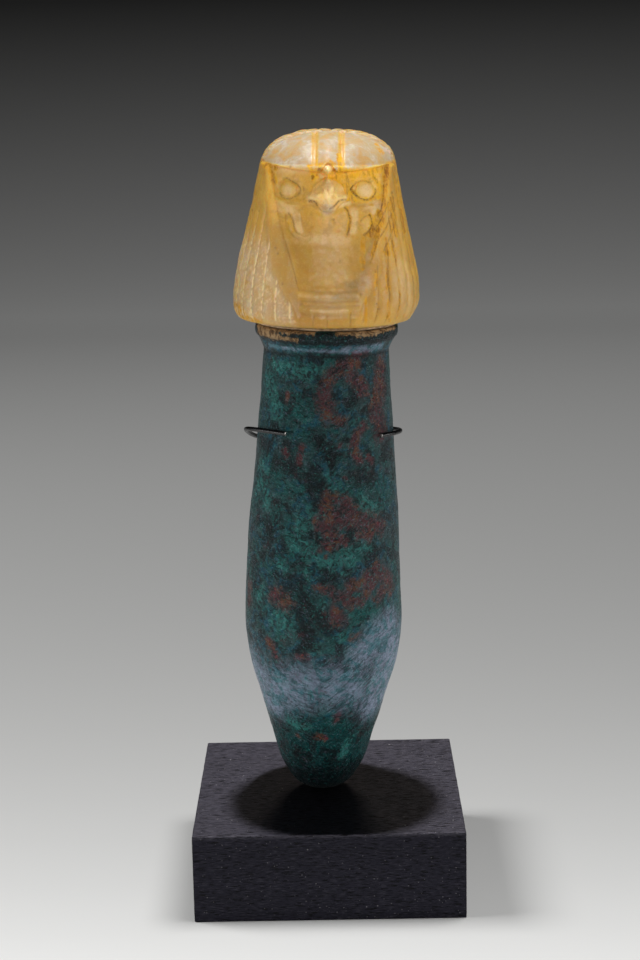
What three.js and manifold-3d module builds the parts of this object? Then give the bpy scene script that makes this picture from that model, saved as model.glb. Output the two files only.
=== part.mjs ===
// A canopic jar on its display mount. A slender bronze jar with a pointed foot stands on its
// tip on a square wooden block. A wire cradle behind it holds it upright, and a falcon's head
// carved in calcite closes it, bedded in a ring of plaster.
//
// Millimetres, +Z up, the falcon looks along -Y. The origin is the centre of the block's underside.

import * as THREE from 'three';
import { mergeVertices } from 'three/addons/utils/BufferGeometryUtils.js';
import Module from 'manifold-3d';

const wasm = await Module();
wasm.setup();

// ---- driving dimensions ----

const TOUCH_GAP = 0.3; // between pieces that rest on each other

const BLOCK_SIDE = 100;
const BLOCK_HEIGHT = 33.4;
const BLOCK_CHAMFER = 0.5;

const JAR_LEAN = THREE.MathUtils.degToRad(1.6); // the jar's top leans towards +X
const JAR_FOOT_X = -2.5;
const JAR_HEIGHT = 180.3;
const JAR_WALL = 2;
const JAR_FOOT_SOLID = 7; // metal under the hollow, at the tip
const JAR_SIDES = 32;
const NECK_HEIGHT = 171;
const NECK_RADIUS = 23.1;
const RIM_RADIUS = 26.5;
const MOUTH_RADIUS = 20.6;

const PLASTER_THICKNESS = 1;
const PLASTER_RADIUS = 25.8;
const PLASTER_RAGGEDNESS = 0.4;

const LID_BASE = JAR_HEIGHT + PLASTER_THICKNESS + 2 * TOUCH_GAP; // above the jar's tip
const SPIGOT_RADIUS = 19.5;
const SPIGOT_DEPTH = 5;
const SEAT_RADIUS = 27.4; // the flat of the lid's underside
const BROW_HEIGHT = 55.2; // of the ledge over the face, at its middle
const STRAND_ANGLE = 10; // degrees of wig to one strand
const STRAND_DEPTH = 0.7;
const HOOD_HEIGHT = 37; // above it the wig closes over like a dome

const POST_RADIUS = 1.5;
const POST_Y = 33;
const POST_TOP = 138; // above the block
const SOCKET_DEPTH = 16;
const WIRE_RADIUS = 0.85;
const WIRE_SIDES = 8;
const WIRE_STEPS = 20;

// ---- helpers ----

// 0 at or before the first value, 1 at or past the second, with a soft start and end.
// The two may come in either order.
function ease(from, to, value) {
  const t = THREE.MathUtils.clamp((value - from) / (to - from), 0, 1);
  return t * t * (3 - 2 * t);
}

// The value at a place between [place, value] stations, along straight lines.
function follow(stations, place) {
  const last = stations.length - 1;
  if (place <= stations[0][0]) return stations[0][1];
  if (place >= stations[last][0]) return stations[last][1];
  const i = stations.findIndex(([at]) => at > place) - 1;
  const [from, before] = stations[i];
  const [to, after] = stations[i + 1];
  return before + (after - before) * ((place - from) / (to - from));
}

function toSolid(geometry) {
  const bare = geometry.clone();
  bare.deleteAttribute('normal');
  bare.deleteAttribute('uv');
  const merged = mergeVertices(bare, 1e-4);
  return new wasm.Manifold(new wasm.Mesh({
    numProp: 3,
    vertProperties: new Float32Array(merged.attributes.position.array),
    triVerts: new Uint32Array(merged.index.array),
  }));
}

function toGeometry(solid) {
  const { vertProperties, triVerts } = solid.getMesh();
  const geometry = new THREE.BufferGeometry();
  geometry.setAttribute('position', new THREE.BufferAttribute(vertProperties, 3));
  geometry.setIndex(new THREE.BufferAttribute(triVerts, 1));
  geometry.computeVertexNormals();
  return geometry;
}

// A closed skin over rings of points, each ring going anticlockwise seen from above,
// from the lowest ring to the highest, with a middle point under it and one over it.
function skinRings(rings, bottom, top) {
  const sides = rings[0].length;
  const positions = [...rings.flat(), bottom, top].flatMap((p) => [p.x, p.y, p.z]);
  const bottomIndex = rings.length * sides;
  const topIndex = bottomIndex + 1;
  const lastRing = (rings.length - 1) * sides;
  const triangles = [];
  for (let side = 0; side < sides; side += 1) {
    const next = (side + 1) % sides;
    triangles.push(bottomIndex, next, side);
    triangles.push(topIndex, lastRing + side, lastRing + next);
    for (let ring = 0; ring < rings.length - 1; ring += 1) {
      const low = ring * sides;
      const high = low + sides;
      triangles.push(low + side, low + next, high + next);
      triangles.push(low + side, high + next, high + side);
    }
  }
  const geometry = new THREE.BufferGeometry();
  geometry.setAttribute('position', new THREE.Float32BufferAttribute(positions, 3));
  geometry.setIndex(triangles);
  geometry.computeVertexNormals();
  return geometry;
}

function named(name, geometry, material) {
  const mesh = new THREE.Mesh(geometry, material);
  mesh.name = name;
  return mesh;
}

// ---- wooden block ----

function makeBlock() {
  const half = BLOCK_SIDE / 2 - BLOCK_CHAMFER;
  const square = new THREE.Shape([
    new THREE.Vector2(-half, -half),
    new THREE.Vector2(half, -half),
    new THREE.Vector2(half, half),
    new THREE.Vector2(-half, half),
  ]);
  const block = new THREE.ExtrudeGeometry(square, {
    depth: BLOCK_HEIGHT - 2 * BLOCK_CHAMFER,
    bevelThickness: BLOCK_CHAMFER,
    bevelSize: BLOCK_CHAMFER,
    bevelSegments: 1,
  });
  block.translate(0, 0, BLOCK_CHAMFER);

  const socketRadius = POST_RADIUS + TOUCH_GAP;
  const socket = new THREE.CylinderGeometry(socketRadius, socketRadius, SOCKET_DEPTH * 2, 16);
  socket.rotateX(Math.PI / 2);
  socket.translate(0, POST_Y, BLOCK_HEIGHT);

  const stained = new THREE.MeshStandardMaterial({ color: 0x211d26, roughness: 0.55, metalness: 0 });
  return named('wooden_block', toGeometry(toSolid(block).subtract(toSolid(socket))), stained);
}

// ---- bronze jar ----

// Radius and height of the body's outline: a blunt tip, a full belly at a third of the
// height, then a long slow taper to the neck.
const BODY_OUTLINE = new THREE.SplineCurve([
  new THREE.Vector2(0, 0),
  new THREE.Vector2(6, 0.7),
  new THREE.Vector2(10.2, 3.1),
  new THREE.Vector2(14.3, 8.8),
  new THREE.Vector2(19.9, 25),
  new THREE.Vector2(23.8, 38),
  new THREE.Vector2(27.4, 51),
  new THREE.Vector2(29.6, 67),
  new THREE.Vector2(29.1, 85),
  new THREE.Vector2(27.9, 105),
  new THREE.Vector2(25.8, 134),
  new THREE.Vector2(24.3, 153),
  new THREE.Vector2(NECK_RADIUS, NECK_HEIGHT),
]);

function jarProfile() {
  const outside = BODY_OUTLINE.getSpacedPoints(16);
  const hollowStart = outside.findIndex((p) => p.y > JAR_FOOT_SOLID + 12);
  const inside = outside.slice(hollowStart).map((p) => new THREE.Vector2(p.x - JAR_WALL, p.y));
  const [lowest] = inside;
  const rim = [
    new THREE.Vector2(23.7, 173.4),
    new THREE.Vector2(25.6, 175.7),
    new THREE.Vector2(RIM_RADIUS - 0.1, 178),
    new THREE.Vector2(RIM_RADIUS, JAR_HEIGHT - 0.7),
    new THREE.Vector2(RIM_RADIUS - 0.6, JAR_HEIGHT),
    new THREE.Vector2(MOUTH_RADIUS + 0.6, JAR_HEIGHT),
    new THREE.Vector2(MOUTH_RADIUS, JAR_HEIGHT - 0.6),
  ];
  const bottom = [];
  for (let turn = 1; turn <= 4; turn += 1) {
    const angle = (turn / 4) * (Math.PI / 2);
    const depth = (lowest.y - JAR_FOOT_SOLID) * Math.sin(angle);
    bottom.push(new THREE.Vector2(turn < 4 ? lowest.x * Math.cos(angle) : 0, lowest.y - depth));
  }
  return [...outside, ...rim, ...inside.reverse(), ...bottom];
}

function makeJar() {
  const jar = new THREE.LatheGeometry(jarProfile(), JAR_SIDES);
  jar.rotateX(Math.PI / 2);
  const bronze = new THREE.MeshStandardMaterial({ color: 0x21423f, roughness: 0.5, metalness: 0.3 });
  return named('bronze_jar', toGeometry(toSolid(jar)), bronze);
}

// ---- plaster bedding ----

function makePlaster() {
  const low = JAR_HEIGHT + TOUCH_GAP;
  const sides = 48;
  const ring = (radius, ragged, height) => Array.from({ length: sides }, (_, side) => {
    const angle = (side / sides) * Math.PI * 2;
    const wave = Math.sin(3 * angle + 1) + Math.sin(7 * angle) + Math.sin(13 * angle + 2);
    const reach = radius + (ragged * wave) / 3;
    return new THREE.Vector3(reach * Math.cos(angle), reach * Math.sin(angle), height);
  });
  const disc = (radius, ragged, from, to) => skinRings(
    [ring(radius, ragged, from), ring(radius, ragged, to)],
    new THREE.Vector3(0, 0, from),
    new THREE.Vector3(0, 0, to),
  );
  const outer = toSolid(disc(PLASTER_RADIUS, PLASTER_RAGGEDNESS, low, low + PLASTER_THICKNESS));
  const hole = toSolid(disc(MOUTH_RADIUS, 0, low - 1, low + PLASTER_THICKNESS + 1));
  const plaster = new THREE.MeshStandardMaterial({ color: 0xc9b08a, roughness: 0.9, metalness: 0 });
  return named('plaster_bedding', toGeometry(outer.subtract(hole)), plaster);
}

// ---- calcite lid: a falcon's head in a striated wig ----

// Heights up the lid, with the wig's reach to the left, right, front and back. Its lower
// right edge is worn back further than the left.
const LID_RIBS = [
  { height: 0, left: 30.6, right: 29.2, front: 29.4, back: 29.4 },
  { height: 0.7, left: 32.2, right: 30.6, front: 30.8, back: 31 },
  { height: 2.7, left: 34, right: 32.2, front: 32.3, back: 32.8 },
  { height: 7, left: 34.6, right: 33.9, front: 32.7, back: 33.5 },
  { height: 12, left: 34.2, right: 34, front: 32.1, back: 33.3 },
  { height: 24.8, left: 31.9, right: 31.7, front: 30.6, back: 32 },
  { height: 35.7, left: 29.2, right: 29.2, front: 29.4, back: 30.6 },
  { height: 46.6, left: 26.8, right: 26.8, front: 28.7, back: 29 },
  { height: 53, left: 25.5, right: 25.5, front: 28.5, back: 27.8 },
  { height: 57.4, left: 24.6, right: 24.7, front: 27.8, back: 26.4 },
  { height: 61.7, left: 22.5, right: 23, front: 23.7, back: 23.8 },
  { height: 65.3, left: 18.3, right: 19.3, front: 18, back: 18.8 },
  { height: 67.7, left: 12.6, right: 13.8, front: 12, back: 13 },
];
const LID_HEIGHT = 68.9;
const WIG_ROWS = [0, 0.7, 2.7, 7, 12, 17, 22.5, 28, 33, 36.5];
const FACE_ROWS = [39.5, 41.4, 42.6, 44, 45.9, 47.7, 49.5, 51.2, 52.9, 54.4, 55.8, 57.4];
const CROWN_ROWS = [59, 61, 63, 64.8, 66.4, 67.7];

function ribAt(height) {
  const along = (key) => follow(LID_RIBS.map((rib) => [rib.height, rib[key]]), height);
  return { left: along('left'), right: along('right'), front: along('front'), back: along('back') };
}

// Angles round the lid from the middle of the face, close together over the face
// and two to a strand over the rest of the wig.
function lidAngles() {
  const faceHalf = 55;
  const faceStep = 2.5;
  const wigStep = STRAND_ANGLE / 2;
  const angles = [];
  for (let angle = -faceHalf; angle < faceHalf; angle += faceStep) angles.push(angle);
  for (let angle = faceHalf; angle < 360 - faceHalf; angle += wigStep) angles.push(angle);
  return angles.map(THREE.MathUtils.degToRad);
}

// Half width of the sunk face and bib, and of the wig's inner edge, up the lid.
const BIB_EDGE = [[0, 8.5], [13.4, 10.8], [28.8, 14.8], [39.7, 17.6], [48, 18.6], [57, 20.4]];
const WIG_EDGE = [[0, 10], [13, 14.4], [20, 17.2], [30, 19.2], [45, 20.9], [57, 22.8]];
const FACE_DEPTH = [[1, 0], [8, 0.7], [14, 1.5], [20, 2.1], [30, 2.7], [40, 3], [50, 2.9], [57, 2.6]];

// Places and sizes of the carving. away is the distance from the face's middle.
const ARCH_HEIGHT = 58.4; // of the small arch between the brows
const EYE = { away: 13.3, height: 48.6, radius: 3.3, rise: 0.9, rim: 4.6, rimDepth: 0.4 };
const BOSS = { height: 56.2, radius: 1.9, rise: 2.3 };
const CHEEK = { away: 10, height: 37.5, half: 3, width: 1.5, rise: 0.6, slant: 0.25 };
const FOREHEAD_GROOVE = { away: 4.8, depth: 0.5 };

// The ledge over the face: two brows that rise outwards, with a small arch between them.
const browAt = (x) => Math.max(BROW_HEIGHT + 0.0057 * x * x, ARCH_HEIGHT - 0.2 * x * x);

// The beak: a kite with a ridge down its middle, hooked over at the tip.
const BEAK_HALF_WIDTH = [[41.3, 0.3], [42.2, 2.6], [44, 5], [45.9, 6.6], [50.4, 4.7], [53, 0.6]];
const BEAK_REACH = [[41.3, 0], [42.2, 4.4], [44, 5.8], [45.9, 5.6], [50.4, 3.4], [53, 1]];

function beakRelief(x, z) {
  const half = follow(BEAK_HALF_WIDTH, z);
  const slope = THREE.MathUtils.clamp(1 - Math.abs(x) / half, 0, 1);
  return follow(BEAK_REACH, z) * slope ** 0.8;
}

// How far the carving stands out of the plain bell, at a place seen from the front.
function faceRelief(x, z) {
  const away = Math.abs(x);
  const inside = ease(follow(WIG_EDGE, z), follow(BIB_EDGE, z), away);
  const under = ease(browAt(x) + 0.5, browAt(x) - 0.9, z);
  const eye = Math.hypot(away - EYE.away, z - EYE.height);
  const boss = Math.hypot(x, z - BOSS.height);
  const cheekX = away - CHEEK.away - CHEEK.slant * (z - CHEEK.height);
  const cheek = Math.hypot(cheekX, Math.max(Math.abs(z - CHEEK.height) - CHEEK.half, 0));
  let relief = -follow(FACE_DEPTH, z) * inside * under;
  relief += EYE.rise * ease(EYE.radius + 0.5, EYE.radius - 0.5, eye);
  relief -= EYE.rimDepth * ease(0.9, 0, Math.abs(eye - EYE.rim));
  relief += CHEEK.rise * ease(CHEEK.width + 0.5, CHEEK.width - 0.5, cheek);
  relief += beakRelief(x, z);
  relief += BOSS.rise * ease(BOSS.radius + 0.7, BOSS.radius - 0.7, boss);
  return relief;
}

// The two grooves that part the forehead's raised middle band from its sides.
function foreheadRelief(x, z) {
  const fade = ease(BROW_HEIGHT, BROW_HEIGHT + 4, z);
  const off = Math.abs(Math.abs(x) - FOREHEAD_GROOVE.away);
  return -FOREHEAD_GROOVE.depth * fade * ease(1.3, 0.2, off);
}

// Grooves between the wig's strands, which fan out down its sides and back.
function strandRelief(angle, x, y, z) {
  const strand = THREE.MathUtils.radToDeg(angle) / STRAND_ANGLE;
  const forehead = ease(-5, -8, y) * ease(54, 58, z);
  const insideFace = ease(follow(WIG_EDGE, z) + 1, follow(WIG_EDGE, z), Math.abs(x)) * (y < 0 ? 1 : 0);
  const wig = (1 - forehead) * (1 - insideFace) * ease(0, 3, z) * ease(62, 57, z);
  return -0.5 * STRAND_DEPTH * wig * (1 - Math.cos(2 * Math.PI * strand));
}

function lidPoint(angle, height) {
  const rib = ribAt(height);
  const across = Math.sin(angle);
  const forward = Math.cos(angle);
  const x = (across > 0 ? rib.right : rib.left) * across;
  const y = -(forward > 0 ? rib.front : rib.back) * forward;
  const point = new THREE.Vector3(x, y, height);
  const dome = new THREE.Vector3(x, y, Math.max(0, height - HOOD_HEIGHT)).normalize();
  const front = new THREE.Vector3(0, -1, 0);
  if (y < 0) point.addScaledVector(front, faceRelief(x, height) * ease(60, 57, height));
  if (y < 0) point.addScaledVector(dome, foreheadRelief(x, height));
  return point.addScaledVector(dome, strandRelief(angle, x, y, height));
}

function makeLid() {
  const angles = lidAngles();
  const heights = [...WIG_ROWS, ...FACE_ROWS, ...CROWN_ROWS];
  const rings = heights.map((height) => angles.map((angle) => lidPoint(angle, height)));
  const circle = (radius, height) => angles.map((angle) => (
    new THREE.Vector3(radius * Math.sin(angle), -radius * Math.cos(angle), height)));
  const underside = [
    circle(SPIGOT_RADIUS - 0.6, -SPIGOT_DEPTH),
    circle(SPIGOT_RADIUS, -SPIGOT_DEPTH + 0.6),
    circle(SPIGOT_RADIUS, 0),
    circle(SEAT_RADIUS, 0),
  ];
  rings[0].forEach((point) => { point.z = 0.2; });
  const lid = skinRings(
    [...underside, ...rings],
    new THREE.Vector3(0, 0, -SPIGOT_DEPTH),
    new THREE.Vector3(0, 0, LID_HEIGHT),
  );
  lid.translate(0, 0, LID_BASE);
  const calcite = new THREE.MeshStandardMaterial({ color: 0xd7b168, roughness: 0.45, metalness: 0 });
  return named('falcon_lid', lid, calcite);
}

// ---- wire cradle ----

// Each arm leaves the post, rounds the jar and bends in to touch its front. side is -1 for the
// left arm and 1 for the right. Along it are the angle round the jar from the back, the reach
// from the jar's axis and the height above the block.
const LEFT_ARM = {
  side: -1,
  postHeight: 128.8,
  stations: [[35, 29.5, 132], [62, 29.5, 135.7], [90, 29.5, 140.7], [112, 29.2, 143.2], [147, 26.7, 143.4]],
};
const RIGHT_ARM = {
  side: 1,
  postHeight: 135,
  stations: [[35, 27.8, 136.4], [62, 27.8, 137.8], [90, 27.8, 139.6], [112, 27.4, 140.6], [130, 26.7, 141.1]],
};

function armCurve({ side, postHeight, stations }) {
  const points = [new THREE.Vector3(0, POST_Y, BLOCK_HEIGHT + postHeight)];
  for (const [turn, reach, height] of stations) {
    const angle = THREE.MathUtils.degToRad(turn);
    const axisX = JAR_FOOT_X + height * Math.sin(JAR_LEAN);
    const x = axisX + side * reach * Math.sin(angle);
    points.push(new THREE.Vector3(x, reach * Math.cos(angle), BLOCK_HEIGHT + height));
  }
  return new THREE.CatmullRomCurve3(points);
}

function makeArm(arm) {
  const section = new THREE.Shape();
  section.absarc(0, 0, WIRE_RADIUS, 0, Math.PI * 2);
  const wire = new THREE.ExtrudeGeometry(section, {
    steps: WIRE_STEPS,
    curveSegments: WIRE_SIDES / 2,
    extrudePath: armCurve(arm),
  });
  return toSolid(wire);
}

function makeCradle() {
  const foot = BLOCK_HEIGHT - SOCKET_DEPTH + TOUCH_GAP;
  const top = BLOCK_HEIGHT + POST_TOP;
  const post = new THREE.CylinderGeometry(POST_RADIUS, POST_RADIUS, top - foot, 12);
  post.rotateX(Math.PI / 2);
  post.translate(0, POST_Y, (top + foot) / 2);
  const cradle = toSolid(post).add(makeArm(LEFT_ARM)).add(makeArm(RIGHT_ARM));
  const painted = new THREE.MeshStandardMaterial({ color: 0x151416, roughness: 0.4, metalness: 0.3 });
  return named('wire_cradle', toGeometry(cradle), painted);
}

// ---- the whole object ----

const leaning = new THREE.Group();
leaning.position.set(JAR_FOOT_X, 0, BLOCK_HEIGHT + TOUCH_GAP);
leaning.rotation.y = JAR_LEAN;
leaning.add(makeJar(), makePlaster(), makeLid());

const canopicJar = new THREE.Group();
canopicJar.add(makeBlock(), makeCradle(), leaning);

export default canopicJar;
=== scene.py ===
"""A canopic jar on its display mount: a slender bronze jar with a pointed foot, closed by a
falcon's head carved in honey-coloured calcite, held upright on a black-stained wooden block by
a bent wire cradle.

Sizes are in millimetres, and vertices go into the meshes in metres. The jar, its plaster and
its lid lean together, so their shapes are worked out upright and then leaned. Heights on the
jar are counted from its tip, and heights on the lid from its underside. Angles go round the jar
from the middle of its front, which faces -Y, towards +X.
"""

import math

import bpy
import numpy as np
from mathutils import Matrix, Vector


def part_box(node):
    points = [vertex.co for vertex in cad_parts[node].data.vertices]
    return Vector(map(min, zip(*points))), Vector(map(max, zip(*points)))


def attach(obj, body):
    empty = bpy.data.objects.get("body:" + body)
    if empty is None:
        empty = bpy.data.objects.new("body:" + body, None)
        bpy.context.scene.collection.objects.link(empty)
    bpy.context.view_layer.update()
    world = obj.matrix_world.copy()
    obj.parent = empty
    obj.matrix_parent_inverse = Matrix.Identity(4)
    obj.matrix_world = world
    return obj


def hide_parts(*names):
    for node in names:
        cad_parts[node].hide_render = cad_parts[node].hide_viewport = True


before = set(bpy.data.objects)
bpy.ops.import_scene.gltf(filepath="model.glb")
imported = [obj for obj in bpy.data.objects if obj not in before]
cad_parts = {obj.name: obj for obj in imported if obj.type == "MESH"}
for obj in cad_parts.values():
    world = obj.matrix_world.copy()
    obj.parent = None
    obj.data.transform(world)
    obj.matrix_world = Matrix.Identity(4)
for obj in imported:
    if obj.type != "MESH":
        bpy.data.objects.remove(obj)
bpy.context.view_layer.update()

MM = 0.001

# ---- sizes shared with the frame ----

BLOCK_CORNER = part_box("wooden_block")[1]
BLOCK_HALF = BLOCK_CORNER.x / MM
BLOCK_TOP = BLOCK_CORNER.z / MM
TOUCH_GAP = 0.3
JAR_LEAN = math.radians(1.6)
JAR_FOOT = np.array([-2.5, 0.0, BLOCK_TOP + TOUCH_GAP])
JAR_HEIGHT = 180.3
LID_BASE = 181.9
LID_HEIGHT = 68.9
POST_Y = 33.0
POST_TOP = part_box("wire_cradle")[1].z / MM
SOCKET_DEPTH = 16.0


# ---- working with arrays ----


def ease(start, end, value):
    """0 at or before start, 1 at or past end, with a soft start and end: t * t * (3 - 2 t)."""
    t = np.clip((value - start) / (end - start), 0, 1)
    return t * t * (3 - 2 * t)


def follow(stations, places):
    """The values at places, on a smooth curve through (place, value, ...) stations: between two
    stations it is the cubic that has, at each, the slope of the parabola through its neighbours."""
    table = np.array(stations, float)
    at, values = table[:, 0], table[:, 1:]
    slopes = np.gradient(values, at, axis=0)
    places = np.asarray(places, float)
    i = np.clip(np.searchsorted(at, places) - 1, 0, len(at) - 2)
    gap = (at[i + 1] - at[i])[..., None]
    t = np.clip((places - at[i])[..., None] / gap, 0, 1)
    found = (
        (1 + 2 * t) * (1 - t) ** 2 * values[i]
        + t * (1 - t) ** 2 * gap * slopes[i]
        + t**2 * (3 - 2 * t) * values[i + 1]
        - t**2 * (1 - t) * gap * slopes[i + 1]
    )
    return found[..., 0] if values.shape[1] == 1 else found


def bend(points, steps=8):
    """Points on the smooth curve through a few given ones, steps to each stretch."""
    points = np.array(points, float)
    if len(points) < 3:
        return points
    stations = np.column_stack([np.arange(len(points)), points])
    return follow(stations, np.linspace(0, len(points) - 1, (len(points) - 1) * steps + 1))


def distance_to(x, z, points):
    """How far each place (x, z) is from the broken line through points, or from the one point."""
    if len(points) == 1:
        return np.hypot(x - points[0][0], z - points[0][1])
    nearest = np.full(x.shape, np.inf)
    for (x0, z0), (x1, z1) in zip(points[:-1], points[1:]):
        run_x, run_z = x1 - x0, z1 - z0
        along = np.clip(((x - x0) * run_x + (z - z0) * run_z) / (run_x**2 + run_z**2), 0, 1)
        nearest = np.minimum(nearest, np.hypot(x - x0 - along * run_x, z - z0 - along * run_z))
    return nearest


def way_along(line):
    """How far along a line of points each of them lies, from 0 at the first."""
    return np.concatenate([[0], np.cumsum(np.hypot(*np.diff(line, axis=0).T))])


def waves(points, length, count=10, seed=0):
    """A smooth random value about 0 at each point: the mean of sine waves that run in random
    directions, each about length long, times the root of their number."""
    draw = np.random.default_rng(seed)
    way = draw.normal(size=(count, 3))
    way /= np.linalg.norm(way, axis=1)[:, None]
    way *= (2 * np.pi / length) * draw.uniform(0.7, 1.4, count)[:, None]
    phase = draw.uniform(0, 2 * np.pi, count)
    return np.sin(points @ way.T + phase).sum(axis=-1) / math.sqrt(count)


def lean(points):
    """Puts points of the upright jar where it stands: turned about +Y, with its tip at the foot."""
    x, y, z = points[..., 0], points[..., 1], points[..., 2]
    turned_x = x * math.cos(JAR_LEAN) + z * math.sin(JAR_LEAN)
    turned_z = z * math.cos(JAR_LEAN) - x * math.sin(JAR_LEAN)
    return np.stack([turned_x, y, turned_z], axis=-1) + JAR_FOOT


# ---- meshes ----


def make_piece(name, vertices, faces, material, node, values=None):
    """A smooth-shaded piece in millimetres that stands for one node of the frame. values are
    numbers at its vertices, by name, for its material to read."""
    mesh = bpy.data.meshes.new(name)
    mesh.from_pydata((np.asarray(vertices) * MM).tolist(), [], faces)
    mesh.shade_smooth()
    for value_name, value in (values or {}).items():
        layer = mesh.attributes.new(value_name, "FLOAT", "POINT")
        layer.data.foreach_set("value", np.asarray(value, np.float32))
    mesh.materials.append(material)
    piece = bpy.data.objects.new(name, mesh)
    bpy.context.scene.collection.objects.link(piece)
    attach(piece, "root")
    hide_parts(node)
    return piece


def close_rings(rings, bottom=None, top=None):
    """Vertices and faces of a skin over rings of points, each going anticlockwise seen from
    above, lowest first. bottom and top are the points that close it, or None where the last
    ring joins the first."""
    rows, sides = rings.shape[:2]
    here = np.arange(rows * sides).reshape(rows, sides)
    right = np.roll(here, -1, axis=1)
    if bottom is None:
        above, above_right = np.roll(here, -1, axis=0), np.roll(right, -1, axis=0)
        quads = np.stack([here, right, above_right, above], axis=-1).reshape(-1, 4)
        return rings.reshape(-1, 3), quads.tolist()
    quads = np.stack([here[:-1], right[:-1], right[1:], here[1:]], axis=-1).reshape(-1, 4)
    low, high = rows * sides, rows * sides + 1
    floor = np.stack([np.full(sides, low), right[0], here[0]], axis=-1)
    roof = np.stack([np.full(sides, high), here[-1], right[-1]], axis=-1)
    vertices = np.vstack([rings.reshape(-1, 3), [bottom], [top]])
    return vertices, quads.tolist() + floor.tolist() + roof.tolist()


def add_caps(values):
    """Values on the rings, and for the two closing points the nearest ring's mean."""
    return np.concatenate([values.ravel(), [values[0].mean()], [values[-1].mean()]])


# ---- nodes ----


def add_node(tree, kind, inputs=None, **settings):
    """A node with its settings. Each input is a value, or an output to link from."""
    node = tree.nodes.new(kind)
    for name, value in settings.items():
        setattr(node, name, value)
    for socket, value in (inputs or {}).items():
        if isinstance(value, bpy.types.NodeSocket):
            tree.links.new(value, node.inputs[socket])
        else:
            node.inputs[socket].default_value = value
    return node


def maths(tree, operation, first, second=0.0, third=0.0):
    inputs = {0: first, 1: second, 2: third}
    return add_node(tree, "ShaderNodeMath", inputs, operation=operation).outputs[0]


def times(tree, first, *others):
    """The product of numbers and outputs."""
    for other in others:
        first = maths(tree, "MULTIPLY", first, other)
    return first


def blend_colour(tree, share, first, second):
    """first where share is 0 and second where it is 1. Colours are linear (red, green, blue)."""
    whole = [(*colour, 1) if isinstance(colour, tuple) else colour for colour in (first, second)]
    inputs = dict(zip((0, 6, 7), (share, *whole)))
    return add_node(tree, "ShaderNodeMix", inputs, data_type="RGBA").outputs[2]


def cover(tree, colour, tone, *shares):
    """colour with tone laid over it, as thickly as the product of the shares says."""
    return blend_colour(tree, times(tree, *shares), colour, tone)


def span(tree, value, low, high, to_low=0.0, to_high=1.0):
    """value carried from low...high to to_low...to_high and held there outside it."""
    inputs = {"Value": value, 1: low, 2: high, 3: to_low, 4: to_high}
    return add_node(tree, "ShaderNodeMapRange", inputs, interpolation_type="SMOOTHSTEP").outputs[0]


def place_in_mm(tree, stretch=(1, 1, 1), turn=0.0):
    """Object coordinates in millimetres, turned about Y by an angle in degrees and then
    multiplied by a stretch along each axis."""
    place = add_node(tree, "ShaderNodeTexCoord").outputs["Object"]
    scale = Vector([MM / share for share in stretch])
    inputs = {"Vector": place, "Rotation": (0, math.radians(turn), 0), "Scale": scale}
    return add_node(tree, "ShaderNodeMapping", inputs, vector_type="TEXTURE").outputs[0]


def read_value(tree, name):
    return add_node(tree, "ShaderNodeAttribute", attribute_name=name).outputs["Fac"]


def make_group(name, inputs, outputs):
    """An empty shader group. inputs and outputs are (name, default) pairs, where a default is a
    number or None for a vector."""
    tree = bpy.data.node_groups.new(name, "ShaderNodeTree")
    for way, sockets in (("INPUT", inputs), ("OUTPUT", outputs)):
        for socket_name, default in sockets:
            kind = "NodeSocketVector" if default is None else "NodeSocketFloat"
            socket = tree.interface.new_socket(socket_name, in_out=way, socket_type=kind)
            if default is not None:
                socket.default_value = default
    given = add_node(tree, "NodeGroupInput").outputs
    result = add_node(tree, "NodeGroupOutput").inputs
    return tree, given, result


def use_group(tree, group, **inputs):
    return add_node(tree, "ShaderNodeGroup", inputs, node_tree=group).outputs[0]


def make_mottle_group():
    """Cloudy variation about 0.5: fractal noise with its contrast raised."""
    inputs = [("Place", None), ("Scale", 0.1), ("Detail", 6.0), ("Contrast", 2.0), ("Swirl", 0.0)]
    tree, given, result = make_group("mottle", inputs, [("Value", 0.0)])
    noise = add_node(tree, "ShaderNodeTexNoise", {
        "Vector": given["Place"], "Scale": given["Scale"], "Detail": given["Detail"], "Roughness": 0.62,
        "Distortion": given["Swirl"],
    }).outputs["Fac"]
    reach = maths(tree, "DIVIDE", 0.5, given["Contrast"])
    low = maths(tree, "SUBTRACT", 0.5, reach)
    high = maths(tree, "ADD", 0.5, reach)
    tree.links.new(span(tree, noise, low, high), result["Value"])
    return tree


def make_blotch_group():
    """A ragged patch: a field that is above 0 inside the patch and below 0 outside it, roughened
    by noise and then cut at 0 with a soft or a sharp edge."""
    inputs = [("Place", None), ("Field", 0.0), ("Scale", 0.5), ("Raggedness", 1.0), ("Softness", 0.2)]
    tree, given, result = make_group("blotch", inputs, [("Mask", 0.0)])
    noise = add_node(tree, "ShaderNodeTexNoise", {
        "Vector": given["Place"], "Scale": given["Scale"], "Detail": 8.0, "Roughness": 0.65,
    }).outputs["Fac"]
    about_zero = maths(tree, "MULTIPLY_ADD", noise, 2.0, -1.0)
    ragged = maths(tree, "MULTIPLY_ADD", about_zero, given["Raggedness"], given["Field"])
    low = times(tree, given["Softness"], -1.0)
    tree.links.new(span(tree, ragged, low, given["Softness"]), result["Mask"])
    return tree


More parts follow.
